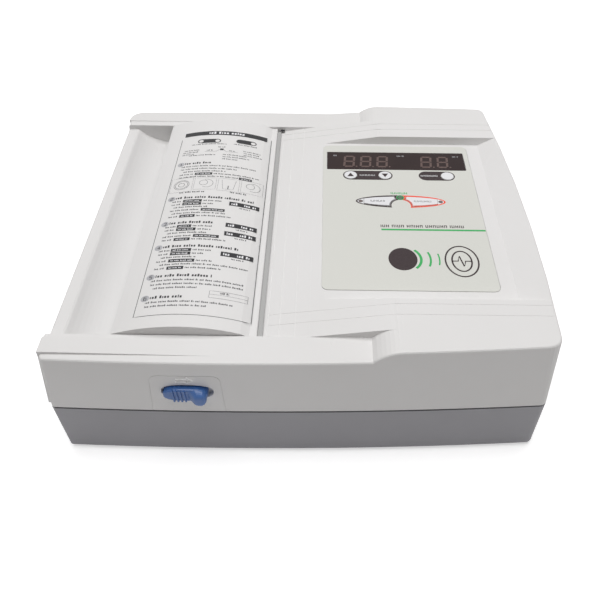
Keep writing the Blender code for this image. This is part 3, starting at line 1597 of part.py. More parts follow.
def build_head():
    spans = cheek_spans()
    low_y = spans["front"][1] + head_end_room
    high_y = spans["back"][0] - head_end_room
    half = head_width / 2
    strip = head_strip_width / 2
    base = head_low_z()
    profile = [
        (-half, base), (-strip, base), (-strip, base - head_strip_thickness),
        (strip, base - head_strip_thickness),
        (strip, base), (half, base), (half, base + head_thickness), (half - wall / 2, base + head_thickness),
        (half - wall / 2, base + head_thickness * 0.55), (-half + wall / 2, base + head_thickness * 0.55),
        (-half + wall / 2, base + head_thickness), (-half, base + head_thickness),
    ]
    head = make("print_head", prism([(platen_x() + x, z) for x, z in profile], "Y", low_y, high_y), aluminium)
    for name, y in head_post_places().items():
        boss_top = base + head_thickness
        add(head, guide("head_boss_" + name, rod(
            (platen_x(), y, 0), "Z", head_seat_radius, base + head_thickness / 4, boss_top, small_sides)))
        cut(head, guide("head_hole_" + name, rod(
            (platen_x(), y, 0), "Z", head_post_radius + running_gap, base - cut_over, boss_top + cut_over,
            small_sides)))
        coil("head_spring_" + name, (platen_x(), y, boss_top + seat_gap), "Z", head_spring_radius,
            head_spring_wire,
             head_spring_turns, head_spring_length(), steel)


# Base tray and what stands in it

def tray_ring(inset, z, left_extra=0.0):
    insets = (inset, inset, inset, inset + left_extra)
    return [(x, y, z) for x, y in outline(insets, corners_in(0.0, 0.0), plain_stations())]


def port_plane_y():
    return back_y - port_plane_setback


def port_cutouts():
    """Each connector's body hole in the back wall: middle, width and height, or a radius."""
    return {
        "mains_inlet": (inlet_x, inlet_width, inlet_height),
        "switch_housing": (switch_x, switch_width - 2 * switch_rim, switch_tall - 2 * switch_rim),
        "serial_port": (serial_x, serial_shell_width, serial_shell_height),
    }


def socket_places():
    return {
        "socket_ultrasound": socket_first_x,
        "socket_contraction": socket_first_x - socket_pitch,
    }


def build_tray():
    top = parting_z - seat_gap
    left_extra = tray_draft_left - tray_draft
    rings = [tray_ring(tray_draft + tray_edge_radius, ground_gap, left_extra)]
    for degrees in (35, 65, 90):
        angle = math.radians(degrees)
        rings.append(tray_ring(
            tray_draft + tray_edge_radius * (1 - math.sin(angle)),
            ground_gap + tray_edge_radius * (1 - math.cos(angle)),
            left_extra))
    rings += [tray_ring(0.0, top), tray_ring(tongue_setback, top),
        tray_ring(tongue_setback, top + tongue_height)]
    tray = make("base_tray", loft(rings), grey_plastic)
    thick = wall + tray_draft
    lower = outline((thick, thick, tray_back_wall, wall + tray_draft_left), corners_in(wall),
        plain_stations())
    upper = outline((wall, wall, tray_back_wall, wall), corners_in(wall), plain_stations())
    cut(tray, guide("tray_hollow", loft([
        [(x, y, tray_floor_z) for x, y in lower],
        [(x, y, top + tongue_height + cut_over) for x, y in upper]])))
    upper_back = outline((wall, wall, wall, wall), corners_in(wall), plain_stations())
    cut(tray, guide("tray_mouth", loft([
        [(x, y, top) for x, y in upper_back],
        [(x, y, top + tongue_height + cut_over) for x, y in upper_back]])))
    for x, y in foot_places().values():
        cut(tray, guide("foot_seat", rod(
            (x, y, 0), "Z", foot_radius + seat_gap, ground_gap - cut_over, ground_gap + foot_recess)))
    for name, (x, y) in screw_places().items():
        add(tray, guide("column_" + name, rod(
            (x, y, 0), "Z", boss_radius, tray_floor_z - tray_floor / 2, top, small_sides)))
        cut(tray, guide("shank_hole_" + name, rod(
            (x, y, 0), "Z", screw_radius + bore_gap, ground_gap - cut_over, top + cut_over, small_sides)))
        cut(tray, guide("head_well_" + name, rod(
            (x, y, 0), "Z", screw_head_radius + running_gap, ground_gap - cut_over, screw_seat_z,
            small_sides)))
    for i in range(vent_count):
        x = vent_x + (i - (vent_count - 1) / 2) * vent_pitch
        cut(tray, guide("vent", block(
            (x - vent_width / 2, -vent_length / 2, ground_gap - cut_over),
            (x + vent_width / 2, vent_length / 2, tray_floor_z + cut_over))))
    for x, y in standoff_places():
        add(tray, guide("standoff", rod(
            (x, y, 0), "Z", standoff_radius, tray_floor_z - tray_floor / 2, tray_floor_z + standoff_height,
            small_sides)))
    cut_ports(tray)
    for x, y in speaker_holes():
        cut(tray, guide("sound_hole", rod(
            (x, y, 0), "Z", speaker_hole_radius, ground_gap - cut_over, tray_floor_z + cut_over, 8)))
    return tray


def speaker_holes():
    places = [(speaker_x, speaker_y)]
    for ring_share, count in ((0.4, 6),):
        for i in range(count):
            angle = full_turn * i / count
            places.append((speaker_x + speaker_radius * ring_share * math.cos(angle),
                           speaker_y + speaker_radius * ring_share * math.sin(angle)))
    return places


def cut_ports(tray):
    """A flat sunken field in the back wall, with a hole for each connector's body."""
    half = port_pocket_height / 2
    plane = port_plane_y()
    field = rounded_rectangle((port_pocket_left, port_z - half), (port_pocket_right, port_z + half), wall)
    cut(tray, guide("port_field", prism(field, "Y", plane, back_y + cut_over)))
    deep = plane - tray_back_wall
    for name, (x, width, height) in port_cutouts().items():
        a = (x - width / 2 - running_gap, deep, port_z - height / 2 - running_gap)
        b = (x + width / 2 + running_gap, plane + cut_over, port_z + height / 2 + running_gap)
        cut(tray, guide(name + "_hole", block(a, b)))
    for name, x in socket_places().items():
        cut(tray, guide(name + "_hole", rod(
            (x, 0, port_z), "Y", socket_body_radius + running_gap, deep, plane + cut_over)))
    cut(tray, guide("marker_hole", rod(
        (marker_x, 0, port_z), "Y", marker_body_radius + running_gap, deep, plane + cut_over, small_sides)))


def foot_places():
    x = half_width - foot_inset_x
    front = front_y + foot_inset_y
    back = back_y - foot_inset_y
    return {
        "foot_front_left": (-x, front), "foot_front_right": (x, front),
        "foot_back_left": (-x, back), "foot_back_right": (x, back),
    }


def standoff_places():
    inset = 2 * standoff_radius
    places = []
    for cx, cy, width, length in (
        (main_board_x, main_board_y, main_board_width, main_board_length),
        (supply_x, supply_y, supply_width, supply_length),
    ):
        for sx in (-1, 1):
            for sy in (-1, 1):
                places.append((cx + sx * (width / 2 - inset), cy + sy * (length / 2 - inset)))
    return places


def build_feet_and_screws():
    for name, (x, y) in foot_places().items():
        top = ground_gap + foot_recess - seat_gap
        make(name, turned([
            (foot_radius - ground_gap / 2, 0.0), (foot_radius - seat_gap, ground_gap / 2),
            (foot_radius - seat_gap, top)], (x, y, 0), "Z"), rubber)
    for name, (x, y) in screw_places().items():
        head_top = screw_seat_z - seat_gap
        make("case_screw_" + name, turned([
            (screw_head_radius * 0.8, head_top - screw_head_height),
            (screw_head_radius, head_top - screw_head_height * 0.7),
            (screw_head_radius, head_top), (screw_radius, head_top),
            (screw_radius, screw_seat_z + screw_length)], (x, y, 0), "Z", small_sides), steel)


def build_boards():
    z = tray_floor_z + standoff_height + seat_gap
    board = make("main_board", block(
        (main_board_x - main_board_width / 2, main_board_y - main_board_length / 2, z),
        (main_board_x + main_board_width / 2, main_board_y + main_board_length / 2, z + board_thickness)),
        board_green)
    parts_share = (
        (-0.25, 0.2, 0.26, 0.26, 1.6), (0.18, 0.22, 0.18, 0.18, 1.2), (0.2, -0.12, 0.3, 0.1, 1.0),
        (-0.22, -0.2, 0.2, 0.28, 2.2), (0.05, -0.38, 0.5, 0.08, 4.5), (0.4, 0.1, 0.06, 0.4, 3.6),
    )
    for sx, sy, width, length, tall in parts_share:
        cx, cy = main_board_x + sx * main_board_width, main_board_y + sy * main_board_length
        hx, hy = width * main_board_width / 2, length * main_board_length / 2
        add(board, guide("component", block(
            (cx - hx, cy - hy, z + board_thickness / 2),
            (cx + hx, cy + hy, z + board_thickness * (1 + tall)))))
    supply = make("power_supply", block(
        (supply_x - supply_width / 2, supply_y - supply_length / 2, z),
        (supply_x + supply_width / 2, supply_y + supply_length / 2, z + board_thickness)), board_green)
    cans_share = ((-0.28, 0.0, 0.34, 0.72, 1.0), (0.1, 0.18, 0.22, 0.4, 0.8), (0.36, -0.1, 0.16, 0.6, 0.6))
    for sx, sy, width, length, tall in cans_share:
        cx, cy = supply_x + sx * supply_width, supply_y + sy * supply_length
        hx, hy = width * supply_width / 2, length * supply_length / 2
        add(supply, guide("supply_part", block(
            (cx - hx, cy - hy, z + board_thickness / 2),
            (cx + hx, cy + hy, z + board_thickness + supply_can_height * tall))))
    low = tray_floor_z + seat_gap
    make("speaker", turned([
        (speaker_radius, low), (speaker_radius, low + speaker_height * 0.2),
        (speaker_radius * 0.85, low + speaker_height * 0.3),
        (speaker_radius * 0.5, low + speaker_height * 0.55),
        (speaker_radius * 0.5, low + speaker_height)], (speaker_x, speaker_y, 0), "Z"), black_plastic)


# Connectors

def build_inlet():
    plane = port_plane_y() + seat_gap
    half_w, half_h = inlet_width / 2, inlet_height / 2
    rim = inlet_lip
    flange = rounded_rectangle(
        (inlet_x - half_w - rim, port_z - half_h - rim), (inlet_x + half_w + rim, port_z + half_h + rim), rim)
    inlet = make("mains_inlet", prism(flange, "Y", plane, plane + port_flange), black_plastic)
    add(inlet, guide("inlet_body", block(
        (inlet_x - half_w, plane - port_body_depth, port_z - half_h),
        (inlet_x + half_w, plane + port_flange / 2, port_z + half_h))))
    mouth_low = (inlet_x - half_w + rim / 2, port_z - half_h + rim)
    mouth_high = (inlet_x + half_w - rim / 2, port_z + half_h - rim)
    floor = plane + port_flange - inlet_mouth_depth
    cut(inlet, guide("inlet_mouth", prism(
        rounded_rectangle(mouth_low, mouth_high, rim), "Y", floor, plane + port_flange + cut_over)))
    for step, lift in ((-1, 0.0), (0, inlet_pin_height), (1, 0.0)):
        x = inlet_x + step * inlet_pin_spread
        add(inlet, guide("inlet_pin", block(
            (x - inlet_pin_height / 2, floor - inlet_lip / 2, port_z - inlet_pin_width / 2 + lift),
            (x + inlet_pin_height / 2, floor + inlet_pin_length, port_z + inlet_pin_width / 2 + lift))))


def build_switch():
    plane = port_plane_y() + seat_gap
    half_w, half_h = switch_width / 2, switch_tall / 2
    housing = make("switch_housing", prism(rounded_rectangle(
        (switch_x - half_w, port_z - half_h), (switch_x + half_w, port_z + half_h), switch_rim / 2),
        "Y", plane, plane + port_flange), black_plastic)
    add(housing, guide("switch_body", block(
        (switch_x - half_w + switch_rim, plane - port_body_depth, port_z - half_h + switch_rim),
        (switch_x + half_w - switch_rim, plane + port_flange / 2, port_z + half_h - switch_rim))))
    room_w = half_w - 1.5 * switch_rim
    room_h = half_h - 1.5 * switch_rim
    cut(housing, guide("switch_room", block(
        (switch_x - room_w, plane + port_flange - rocker_depth - rocker_gap * 4, port_z - room_h),
        (switch_x + room_w, plane + port_flange + cut_over, port_z + room_h))))
    pivot_y = plane + port_flange - rocker_depth / 2
    reach = room_h - rocker_gap - rocker_depth * math.sin(math.radians(rocker_tilt_degrees)) / 2
    half_x = room_w - rocker_gap
    outer = rocker_depth / 2 + rocker_proud
    dish = outer - reach * math.sin(math.radians(rocker_tilt_degrees))
    section = [
        (-rocker_depth / 2, -reach * 0.7), (outer - rocker_gap, -reach), (dish, 0.0),
        (outer - rocker_gap, reach),
        (-rocker_depth / 2, reach * 0.7),
    ]
    tilt = math.radians(rocker_tilt_degrees)
    points = []
    for y, z in section:
        points.append((pivot_y + y * math.cos(tilt) - z * math.sin(tilt),
            port_z + y * math.sin(tilt) + z * math.cos(tilt)))
    rocker = make("power_rocker", prism(points, "X", switch_x - half_x, switch_x + half_x), black_plastic)
    pivot = Vector((switch_x, pivot_y, port_z))
    rocker.data.transform(Matrix.Translation(-pivot))
    rocker.location = pivot


def build_sockets():
    plane = port_plane_y() + seat_gap
    face = plane + port_flange
    for name, x in socket_places().items():
        profile = [
            (socket_body_radius, plane - port_body_depth), (socket_body_radius, plane),
            (socket_radius, plane),
            (socket_radius, face - seat_gap), (socket_radius - seat_gap, face), (socket_mouth_radius, face),
            (socket_mouth_radius, face - socket_mouth_depth)]
        make(name, turned(profile, (x, 0, port_z), "Y"), black_plastic)
    profile = [
        (marker_body_radius, plane - port_body_depth), (marker_body_radius, plane), (marker_radius, plane),
        (marker_radius, face), (marker_mouth_radius, face), (marker_mouth_radius, face - socket_mouth_depth)]
    make("socket_marker", turned(profile, (marker_x, 0, port_z), "Y", small_sides), black_plastic)
    half_w, half_h = serial_width / 2, serial_height / 2
    serial = make("serial_port", prism(rounded_rectangle(
        (serial_x - half_w, port_z - half_h), (serial_x + half_w, port_z + half_h), serial_height / 8),
        "Y", plane, plane + port_flange / 2), steel)
    shell_w, shell_h = serial_shell_width / 2, serial_shell_height / 2
    taper = serial_shell_height / 6
    dee = [(serial_x - shell_w + taper, port_z - shell_h), (serial_x + shell_w - taper, port_z - shell_h),
           (serial_x + shell_w, port_z + shell_h), (serial_x - shell_w, port_z + shell_h)]
    add(serial, guide("serial_shell", prism(dee, "Y", plane - port_body_depth,
        plane + serial_shell_proud / 2)))


def edges_by_angle():
    """A node group that keeps edges sharp where two faces meet at more than the limit."""
    group = bpy.data.node_groups.new("edges_by_angle", "GeometryNodeTree")
    group.interface.new_socket("Mesh", in_out="INPUT", socket_type="NodeSocketGeometry")
    group.interface.new_socket("Mesh", in_out="OUTPUT", socket_type="NodeSocketGeometry")
    start = group.nodes.new("NodeGroupInput")
    end = group.nodes.new("NodeGroupOutput")
    angle = group.nodes.new("GeometryNodeInputMeshEdgeAngle")
    above = group.nodes.new("FunctionNodeCompare")
    above.operation = "GREATER_THAN"
    above.inputs["B"].default_value = math.radians(smooth_limit_degrees)
    shade = group.nodes.new("GeometryNodeSetShadeSmooth")
    shade.domain = "EDGE"
    shade.inputs["Shade Smooth"].default_value = False
    group.links.new(start.outputs[0], shade.inputs["Geometry"])
    group.links.new(angle.outputs["Unsigned Angle"], above.inputs["A"])
    group.links.new(above.outputs["Result"], shade.inputs["Selection"])
    group.links.new(shade.outputs["Geometry"], end.inputs[0])
    return group


def settle_shading():
    """Edges made by the cuts stay crisp, and flat faces keep their own direction."""
    group = edges_by_angle()
    for part in list(bpy.context.scene.objects):
        if part.hide_render or part.type != "MESH":
            continue
        part.modifiers.new("Edges", "NODES").node_group = group
        part.modifiers.new("Normals", "WEIGHTED_NORMAL").keep_sharp = True


build_top_shell()
build_tray()
build_cover()
build_hinge_pins()
build_latch()
build_panel()
build_control_board()
build_drive()
build_frame()
build_paper()
build_head()
build_feet_and_screws()
build_boards()
build_inlet()
build_switch()
build_sockets()
settle_shading()
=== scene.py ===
"""Looks of the cardiotocograph: plastics, printed panel, instruction label and studio light."""

import math

import bmesh
import bpy
from mathutils import Matrix, Vector
from mathutils.bvhtree import BVHTree


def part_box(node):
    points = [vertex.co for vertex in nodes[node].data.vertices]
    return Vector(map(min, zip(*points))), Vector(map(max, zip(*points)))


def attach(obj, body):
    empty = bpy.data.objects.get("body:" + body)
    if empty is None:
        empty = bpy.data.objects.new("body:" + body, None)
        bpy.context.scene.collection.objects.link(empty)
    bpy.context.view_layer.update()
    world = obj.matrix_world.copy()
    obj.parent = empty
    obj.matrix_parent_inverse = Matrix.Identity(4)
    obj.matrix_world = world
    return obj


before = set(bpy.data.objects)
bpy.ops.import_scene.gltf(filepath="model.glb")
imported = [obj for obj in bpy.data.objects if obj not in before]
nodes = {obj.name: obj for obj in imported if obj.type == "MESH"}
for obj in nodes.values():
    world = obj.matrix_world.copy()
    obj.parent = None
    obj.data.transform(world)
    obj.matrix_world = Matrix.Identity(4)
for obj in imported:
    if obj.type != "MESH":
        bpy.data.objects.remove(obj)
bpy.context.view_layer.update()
mm = 0.001


# Shader sums

class Value:
    """A number that changes over a surface, for use in sums, so that patterns read like formulas."""

    def __init__(self, maker, socket):
        self.maker = maker
        self.socket = socket

    def step(self, operation, other):
        node = self.maker.node("Math", {"operation": operation}, {0: self, 1: other})
        return Value(self.maker, node.outputs[0])

    def __add__(self, other):
        return self.step("ADD", other)

    def __mul__(self, other):
        return self.step("MULTIPLY", other)

    __radd__ = __add__
    __rmul__ = __mul__

    def larger(self, other):
        return self.step("MAXIMUM", other)

    def smooth(self, low, high):
        """Rises from 0 to 1 between two levels."""
        sockets = {"Value": self, "From Min": low, "From Max": high}
        node = self.maker.node("MapRange", {"interpolation_type": "SMOOTHSTEP"}, sockets)
        return Value(self.maker, node.outputs["Result"])


class Maker:
    """Makes the nodes of one tree."""

    def __init__(self, tree):
        self.tree = tree

    def fill(self, node, sockets):
        """Gives a node's sockets their values or links."""
        for slot, item in sockets.items():
            if isinstance(item, Value):
                item = item.socket
            if isinstance(item, bpy.types.NodeSocket):
                self.tree.links.new(item, node.inputs[slot])
            else:
                node.inputs[slot].default_value = item

    def node(self, kind, settings, sockets):
        """A node of a kind: its settings come first, then the values or links of its sockets."""
        made = self.tree.nodes.new("ShaderNode" + kind)
        for name, setting in settings.items():
            setattr(made, name, setting)
        self.fill(made, sockets)
        return made


class Look(Maker):
    """A Principled material with helpers for tone, gloss and relief."""

    def __init__(self, name, colour, roughness, metallic=0.0, coat=0.0, specular=0.5):
        self.material = bpy.data.materials.new(name)
        self.material.use_nodes = True
        super().__init__(self.material.node_tree)
        self.colour = (*colour, 1.0)
        self.shader = self.tree.nodes["Principled BSDF"]
        self.fill(self.shader, {
            "Base Color": self.colour, "Roughness": roughness, "Metallic": metallic, "Coat Weight": coat,
            "Coat Roughness": 0.12, "Specular IOR Level": specular,
        })
        self.place = self.node("TexCoord", {}, {}).outputs["Object"]

    def noise(self, scale, detail=2.0, stretch=None):
        """Noise in the piece's own place; a stretch draws it out, as brushing does."""
        place = self.place
        if stretch:
            place = self.node("Mapping", {}, {"Vector": place, "Scale": stretch}).outputs["Vector"]
        node = self.node("TexNoise", {}, {"Vector": place, "Scale": scale, "Detail": detail})
        return Value(self, node.outputs["Fac"])

    def tone(self, scale, colour, low=0.35, high=0.7, stretch=None):
        """Mixes a second colour in, in soft patches."""
        patches = self.noise(scale, 3.0, stretch).smooth(low, high)
        sockets = {"Factor": patches, "A": self.colour, "B": (*colour, 1.0)}
        node = self.node("Mix", {"data_type": "RGBA"}, sockets)
        self.fill(self.shader, {"Base Color": node.outputs["Result"]})

    def rough(self, scale, low, high):
        """Lets the roughness wander between two values."""
        self.fill(self.shader, {"Roughness": self.noise(scale, 3.0) * (high - low) + low})

    def relief(self, height, strength, distance):
        sockets = {"Height": height, "Strength": strength, "Distance": distance}
        node = self.node("Bump", {}, sockets)
        self.fill(self.shader, {"Normal": node.outputs["Normal"]})


def plastic(name, colour, second, roughness, grain=2600.0, depth=0.35):
    """Moulded plastic: a slow change of tone, uneven gloss and a fine grain."""
    look = Look(name, colour, roughness)
    look.tone(9.0, second, 0.3, 0.75)
    look.rough(160.0, roughness - 0.04, roughness + 0.05)
    look.relief(look.noise(grain), depth, 0.06 * mm)
    return look


def brushed(name, colour, second, stretch, roughness):
    """Metal with brush lines along the axis that the stretch makes small."""
    look = Look(name, colour, roughness, metallic=1.0)
    look.tone(900.0, second, 0.3, 0.75, stretch)
    look.relief(look.noise(900.0, stretch=stretch), 0.15, 0.04 * mm)
    return look


white = plastic("white_case", (0.80, 0.79, 0.785), (0.775, 0.765, 0.755), 0.46)
grey = plastic("grey_case", (0.342, 0.338, 0.362), (0.322, 0.318, 0.34), 0.5)
# painted shade: this grey stands in for the shade in the hinge groove, not a part's own colour
groove_shade_look = plastic("groove_painted_shade", (0.43, 0.43, 0.425), (0.40, 0.40, 0.395), 0.5)
blue = plastic("blue_slider", (0.05, 0.15, 0.42), (0.04, 0.125, 0.37), 0.3, depth=0.2)
film = plastic("panel_film", (0.71, 0.71, 0.665), (0.695, 0.70, 0.655), 0.4, 4200.0, 0.2)
window = Look("window_film", (0.021, 0.008, 0.008), 0.16, specular=0.16)
window.tone(40.0, (0.025, 0.011, 0.01))
window.rough(300.0, 0.13, 0.2)
keys = plastic("key_film", (0.84, 0.84, 0.86), (0.80, 0.80, 0.82), 0.36, 4200.0, 0.15)
digits = plastic("digit_blocks", (0.14, 0.07, 0.06), (0.10, 0.05, 0.05), 0.35)
green_lamp = Look("green_lamp", (0.03, 0.11, 0.05), 0.2, coat=0.5)
green_lamp.tone(700.0, (0.05, 0.17, 0.07))
red_lamp = Look("dark_lamp", (0.12, 0.085, 0.085), 0.22, coat=0.5)
red_lamp.tone(700.0, (0.17, 0.11, 0.105))
steel = brushed("bright_steel", (0.62, 0.62, 0.64), (0.5, 0.5, 0.52), (1.0, 0.04, 1.0), 0.28)
aluminium = brushed("head_aluminium", (0.76, 0.77, 0.78), (0.66, 0.67, 0.69), (1.0, 0.03, 1.0), 0.34)
rubber = plastic("black_rubber", (0.028, 0.028, 0.03), (0.04, 0.04, 0.04), 0.75, 1800.0, 0.5)
black = plastic("black_moulding", (0.03, 0.03, 0.034), (0.045, 0.045, 0.048), 0.42)
nylon = plastic("gear_nylon", (0.78, 0.75, 0.66), (0.7, 0.67, 0.58), 0.42, 900.0, 0.2)
paper = plastic("chart_paper", (0.88, 0.85, 0.83), (0.84, 0.80, 0.79), 0.8, 1500.0, 0.25)
card = plastic("core_card", (0.44, 0.32, 0.2), (0.34, 0.24, 0.15), 0.85, 700.0, 0.5)
board = Look("board_green", (0.02, 0.16, 0.065), 0.35)
board.tone(60.0, (0.015, 0.11, 0.05))
board.relief(board.noise(800.0), 0.2, 0.05 * mm)
frame_black = plastic("frame_moulding", (0.10, 0.10, 0.11), (0.075, 0.075, 0.08), 0.55)

node_looks = {
    white: ("top_shell", "printer_cover", "latch_plate"),
    grey: ("base_tray",),
    blue: ("latch_slider",),
    film: ("control_overlay",),
    window: ("display_window",),
    keys: ("key_volume_up", "key_volume_down", "key_reference", "key_alarm", "key_record"),
    digits: ("digits_three", "digits_two"),
    green_lamp: ("lamp_power",),
    red_lamp: ("lamp_alarm", "lamp_record"),
    steel: ("hinge_pin_front", "hinge_pin_back", "latch_spring", "platen_shaft", "feed_motor",
            "motor_shaft", "head_spring_front", "head_spring_back", "serial_port", "case_screw_front_left",
            "case_screw_front_right", "case_screw_back_left", "case_screw_back_right"),
    aluminium: ("print_head",),
    rubber: ("platen_roller", "foot_front_left", "foot_front_right", "foot_back_left", "foot_back_right"),
    black: ("speaker", "mains_inlet", "switch_housing", "power_rocker", "socket_ultrasound",
            "socket_contraction", "socket_marker"),
    nylon: ("platen_gear", "idler_gear", "motor_pinion"),
    paper: ("paper_roll",),
    card: ("paper_core",),
    board: ("control_board", "main_board", "power_supply"),
    frame_black: ("printer_frame", "roll_spindle"),
}
for look, names in node_looks.items():
    for name in names:
        node = nodes[name]
        node.data.materials.clear()
        node.data.materials.append(look.material)


# Flat prints: thin inked shapes laid just above a surface

def ink(name, colour, roughness):
    """Printing ink, a little uneven; the same kind of material also carries painted shade and a painted
    highlight.
    """
    look = Look(name, colour, roughness, specular=0.25)
    look.tone(900.0, tuple(min(part * 1.15 + 0.004, 1.0) for part in colour))
    return look


ink_dark = ink("dark_ink", (0.028, 0.016, 0.018), 0.45)
# black for print, and also painted shade in the hinge hole and at the case joint
ink_black_print_and_shade = ink("black_print_and_shade_ink", (0.02, 0.02, 0.022), 0.45)
ink_text = ink("text_ink", (0.055, 0.055, 0.06), 0.5)
ink_pale = ink("pale_ink", (0.46, 0.46, 0.48), 0.5)
ink_shade = ink("shade_ink", (0.52, 0.505, 0.50), 0.5)
# painted highlight: lighter than the case's white, for the raised arrow that catches the light from above
arrow_highlight_ink = ink("arrow_painted_highlight_ink", (0.93, 0.93, 0.93), 0.4)
ink_white = ink("white_ink", (0.84, 0.84, 0.86), 0.4)
ink_green = ink("green_ink", (0.05, 0.40, 0.115), 0.45)
ink_red = ink("red_ink", (0.90, 0.085, 0.04), 0.45)
ink_segment = ink("unlit_segment", (0.115, 0.072, 0.064), 0.3)

overlay_low, overlay_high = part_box("control_overlay")
cover_low, cover_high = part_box("printer_cover")
window_low, window_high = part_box("display_window")
film_lift = 0.04 * mm
curve_step = 3 * mm
weld = 0.001 * mm
upwards = (0.0, 0.0, 1.0)
forwards = (0.0, -1.0, 0.0)


def put(name, form, look):
    """Turns a form into an object with its look."""
    mesh = bpy.data.meshes.new(name)
    form.to_mesh(mesh)
    form.free()
    mesh.materials.append(look.material)
    made = bpy.data.objects.new(name, mesh)
    bpy.context.scene.collection.objects.link(made)
    return made


def grid(form, x0, y0, x1, y1, along, across):
    """A flat grid of faces between two corners."""
    middle = Matrix.Translation(((x0 + x1) / 2, (y0 + y1) / 2, 0.0))
    size = Matrix.Diagonal((x1 - x0, y1 - y0, 1.0, 1.0))
    bmesh.ops.create_grid(form, x_segments=along, y_segments=across, size=0.5, matrix=middle @ size)


def rectangle(form, x0, y0, x1, y1):
    """A flat rectangle, split along x so that it can follow a curve."""
    grid(form, x0, y0, x1, y1, max(1, math.ceil(abs(x1 - x0) / curve_step)), 1)


def beside(points, distance, closed):
    """A line of points at a distance to the left of another."""
    count = len(points)
    made = []
    for i, (x, y) in enumerate(points):
        before = points[i - 1] if i or closed else (x, y)
        after = points[(i + 1) % count] if i + 1 < count or closed else (x, y)
        along = (Vector(after) - Vector(before)).normalized()
        made.append((x - along.y * distance, y + along.x * distance))
    return made


class Print:
    """Collects flat shapes of one look on one surface and turns them into one thin piece.

    Shapes are drawn flat, in plan for a print that faces upwards and as seen from the front for one that
    faces forwards. The height gives the surface at a place; areas on a curved one are cut into strips.
    """

    def __init__(self, name, look, body, height, facing=upwards, curved=False):
        self.name = name
        self.look = look
        self.body = body
        self.height = height
        self.facing = Vector(facing)
        self.curved = curved
        self.form = bmesh.new()

    def lay(self, patch, crest=None):
        """Moves a flat patch to the surface, and its raised vertices by the crest, and adds it."""
        for vert in patch.verts:
            u, v, raised = vert.co
            level = self.height(u, v)
            vert.co = (u, level, v) if self.facing.y else (u, v, level)
            if raised:
                vert.co += crest
        mesh = bpy.data.meshes.new("patch")
        patch.to_mesh(mesh)
        patch.free()
        self.form.from_mesh(mesh)
        bpy.data.meshes.remove(mesh)

    def area(self, outline, holes=()):
        """A filled outline with holes."""
        patch = bmesh.new()
        edges = []
        for loop in (outline, *holes):
            verts = [patch.verts.new((x, y, 0.0)) for x, y in loop]
            edges += [patch.edges.new(pair) for pair in zip(verts, verts[1:] + verts[:1])]
        bmesh.ops.triangle_fill(patch, use_beauty=True, use_dissolve=False, edges=edges)
        if self.curved:
            left, right = min(x for x, _ in outline), max(x for x, _ in outline)
            for i in range(1, math.ceil((right - left) / curve_step)):
                everything = patch.verts[:] + patch.edges[:] + patch.faces[:]
                bmesh.ops.bisect_plane(patch, geom=everything, plane_co=(left + i * curve_step, 0.0, 0.0),
                                       plane_no=(1.0, 0.0, 0.0))
        self.lay(patch)

    def bar(self, x0, y0, x1, y1):
        patch = bmesh.new()
        rectangle(patch, x0, y0, x1, y1)
        self.lay(patch)

    def band(self, points, width, closed=False, crest=None):
        """A line of even width; a crest, the way its middle moves, turns it into a ledge."""
        rows = ((-1, 0.0), (0, 1.0), (1, 0.0)) if crest else ((-1, 0.0), (1, 0.0))
        lines = []
        for side, raised in rows:
            line = beside(points, side * width / 2, closed)
            lines.append([(x, y, raised) for x, y in (line + line[:1] if closed else line)])
        along, across = len(lines[0]) - 1, len(lines) - 1
        patch = bmesh.new()
        grid(patch, 0, 0, along, across, along, across)
        for vert in patch.verts:
            vert.co = lines[round(vert.co.y)][round(vert.co.x)]
        if closed:
            bmesh.ops.remove_doubles(patch, verts=patch.verts, dist=weld)
        self.lay(patch, crest)

    def words(self, x, y, length, size, seed, weight=0.16, wide=0.5, lower=1.0, run=0):
        """A row of marks in place of words: single uprights, and pairs joined low, halfway or high.

        A run is the number of marks of a single word; otherwise the row has groups of two to seven.
        """
        patch = bmesh.new()
        stroke, link = size * weight, size * weight * 0.8
        wide = size * wide
        mark_gap, word_gap = size * 0.24, size * 0.5
        place = x
        group = seed
        while place + wide < x + length:
            group += 1
            for i in range(run or 2 + (group * 7 + seed * 5) % 6):
                if place + wide > x + length:
                    break
                kind = (group * 3 + i * 5 + seed + i // 3) % 4
                tall = size * (lower if (group * 2 + i * 3) % 4 else 1.0)
                rectangle(patch, place, y, place + stroke, y + tall)
                if kind < 3:
                    rectangle(patch, place + wide - stroke, y, place + wide, y + tall)
                    level = y + (tall - link) * kind / 2
                    rectangle(patch, place + stroke, level, place + wide - stroke, level + link)
                    place += wide - stroke
                place += stroke + mark_gap
            if run:
                break
            place += word_gap
        self.lay(patch)

    def settle(self):
        """Turns the faces to the front of the print and makes the piece."""
        bmesh.ops.recalc_face_normals(self.form, faces=self.form.faces)
        for face in self.form.faces:
            if face.normal.dot(self.facing) < 0:
                face.normal_flip()
        made = put(self.name, self.form, self.look)
        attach(made, self.body)


def arc_points(x, y, radius, start, end, count=12):
    """Points along an arc; its angles are in degrees."""
    start, end = math.radians(start), math.radians(end)
    angles = [start + (end - start) * i / count for i in range(count + 1)]
    return [(x + radius * math.cos(angle), y + radius * math.sin(angle)) for angle in angles]


def circle(x, y, radius, count, radius_y=None):
    """Points round a circle, or round an ellipse that has a radius of its own along y."""
    radius_y = radius_y or radius
    turn = 2 * math.pi / count
    return [(x + radius * math.cos(i * turn), y + radius_y * math.sin(i * turn)) for i in range(count)]


def capsule(x0, x1, y, radius, count=10):
    """Points round a bar with half-round ends."""
    left_end = arc_points(x0 + radius, y, radius, 90, 270, count)
    return left_end + arc_points(x1 - radius, y, radius, -90, 90, count)


def flat(level):
    """The height of a level surface."""
    return lambda x, y: level


def middle_of(name):
    low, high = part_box(name)
    return (low.x + high.x) / 2, (low.y + high.y) / 2


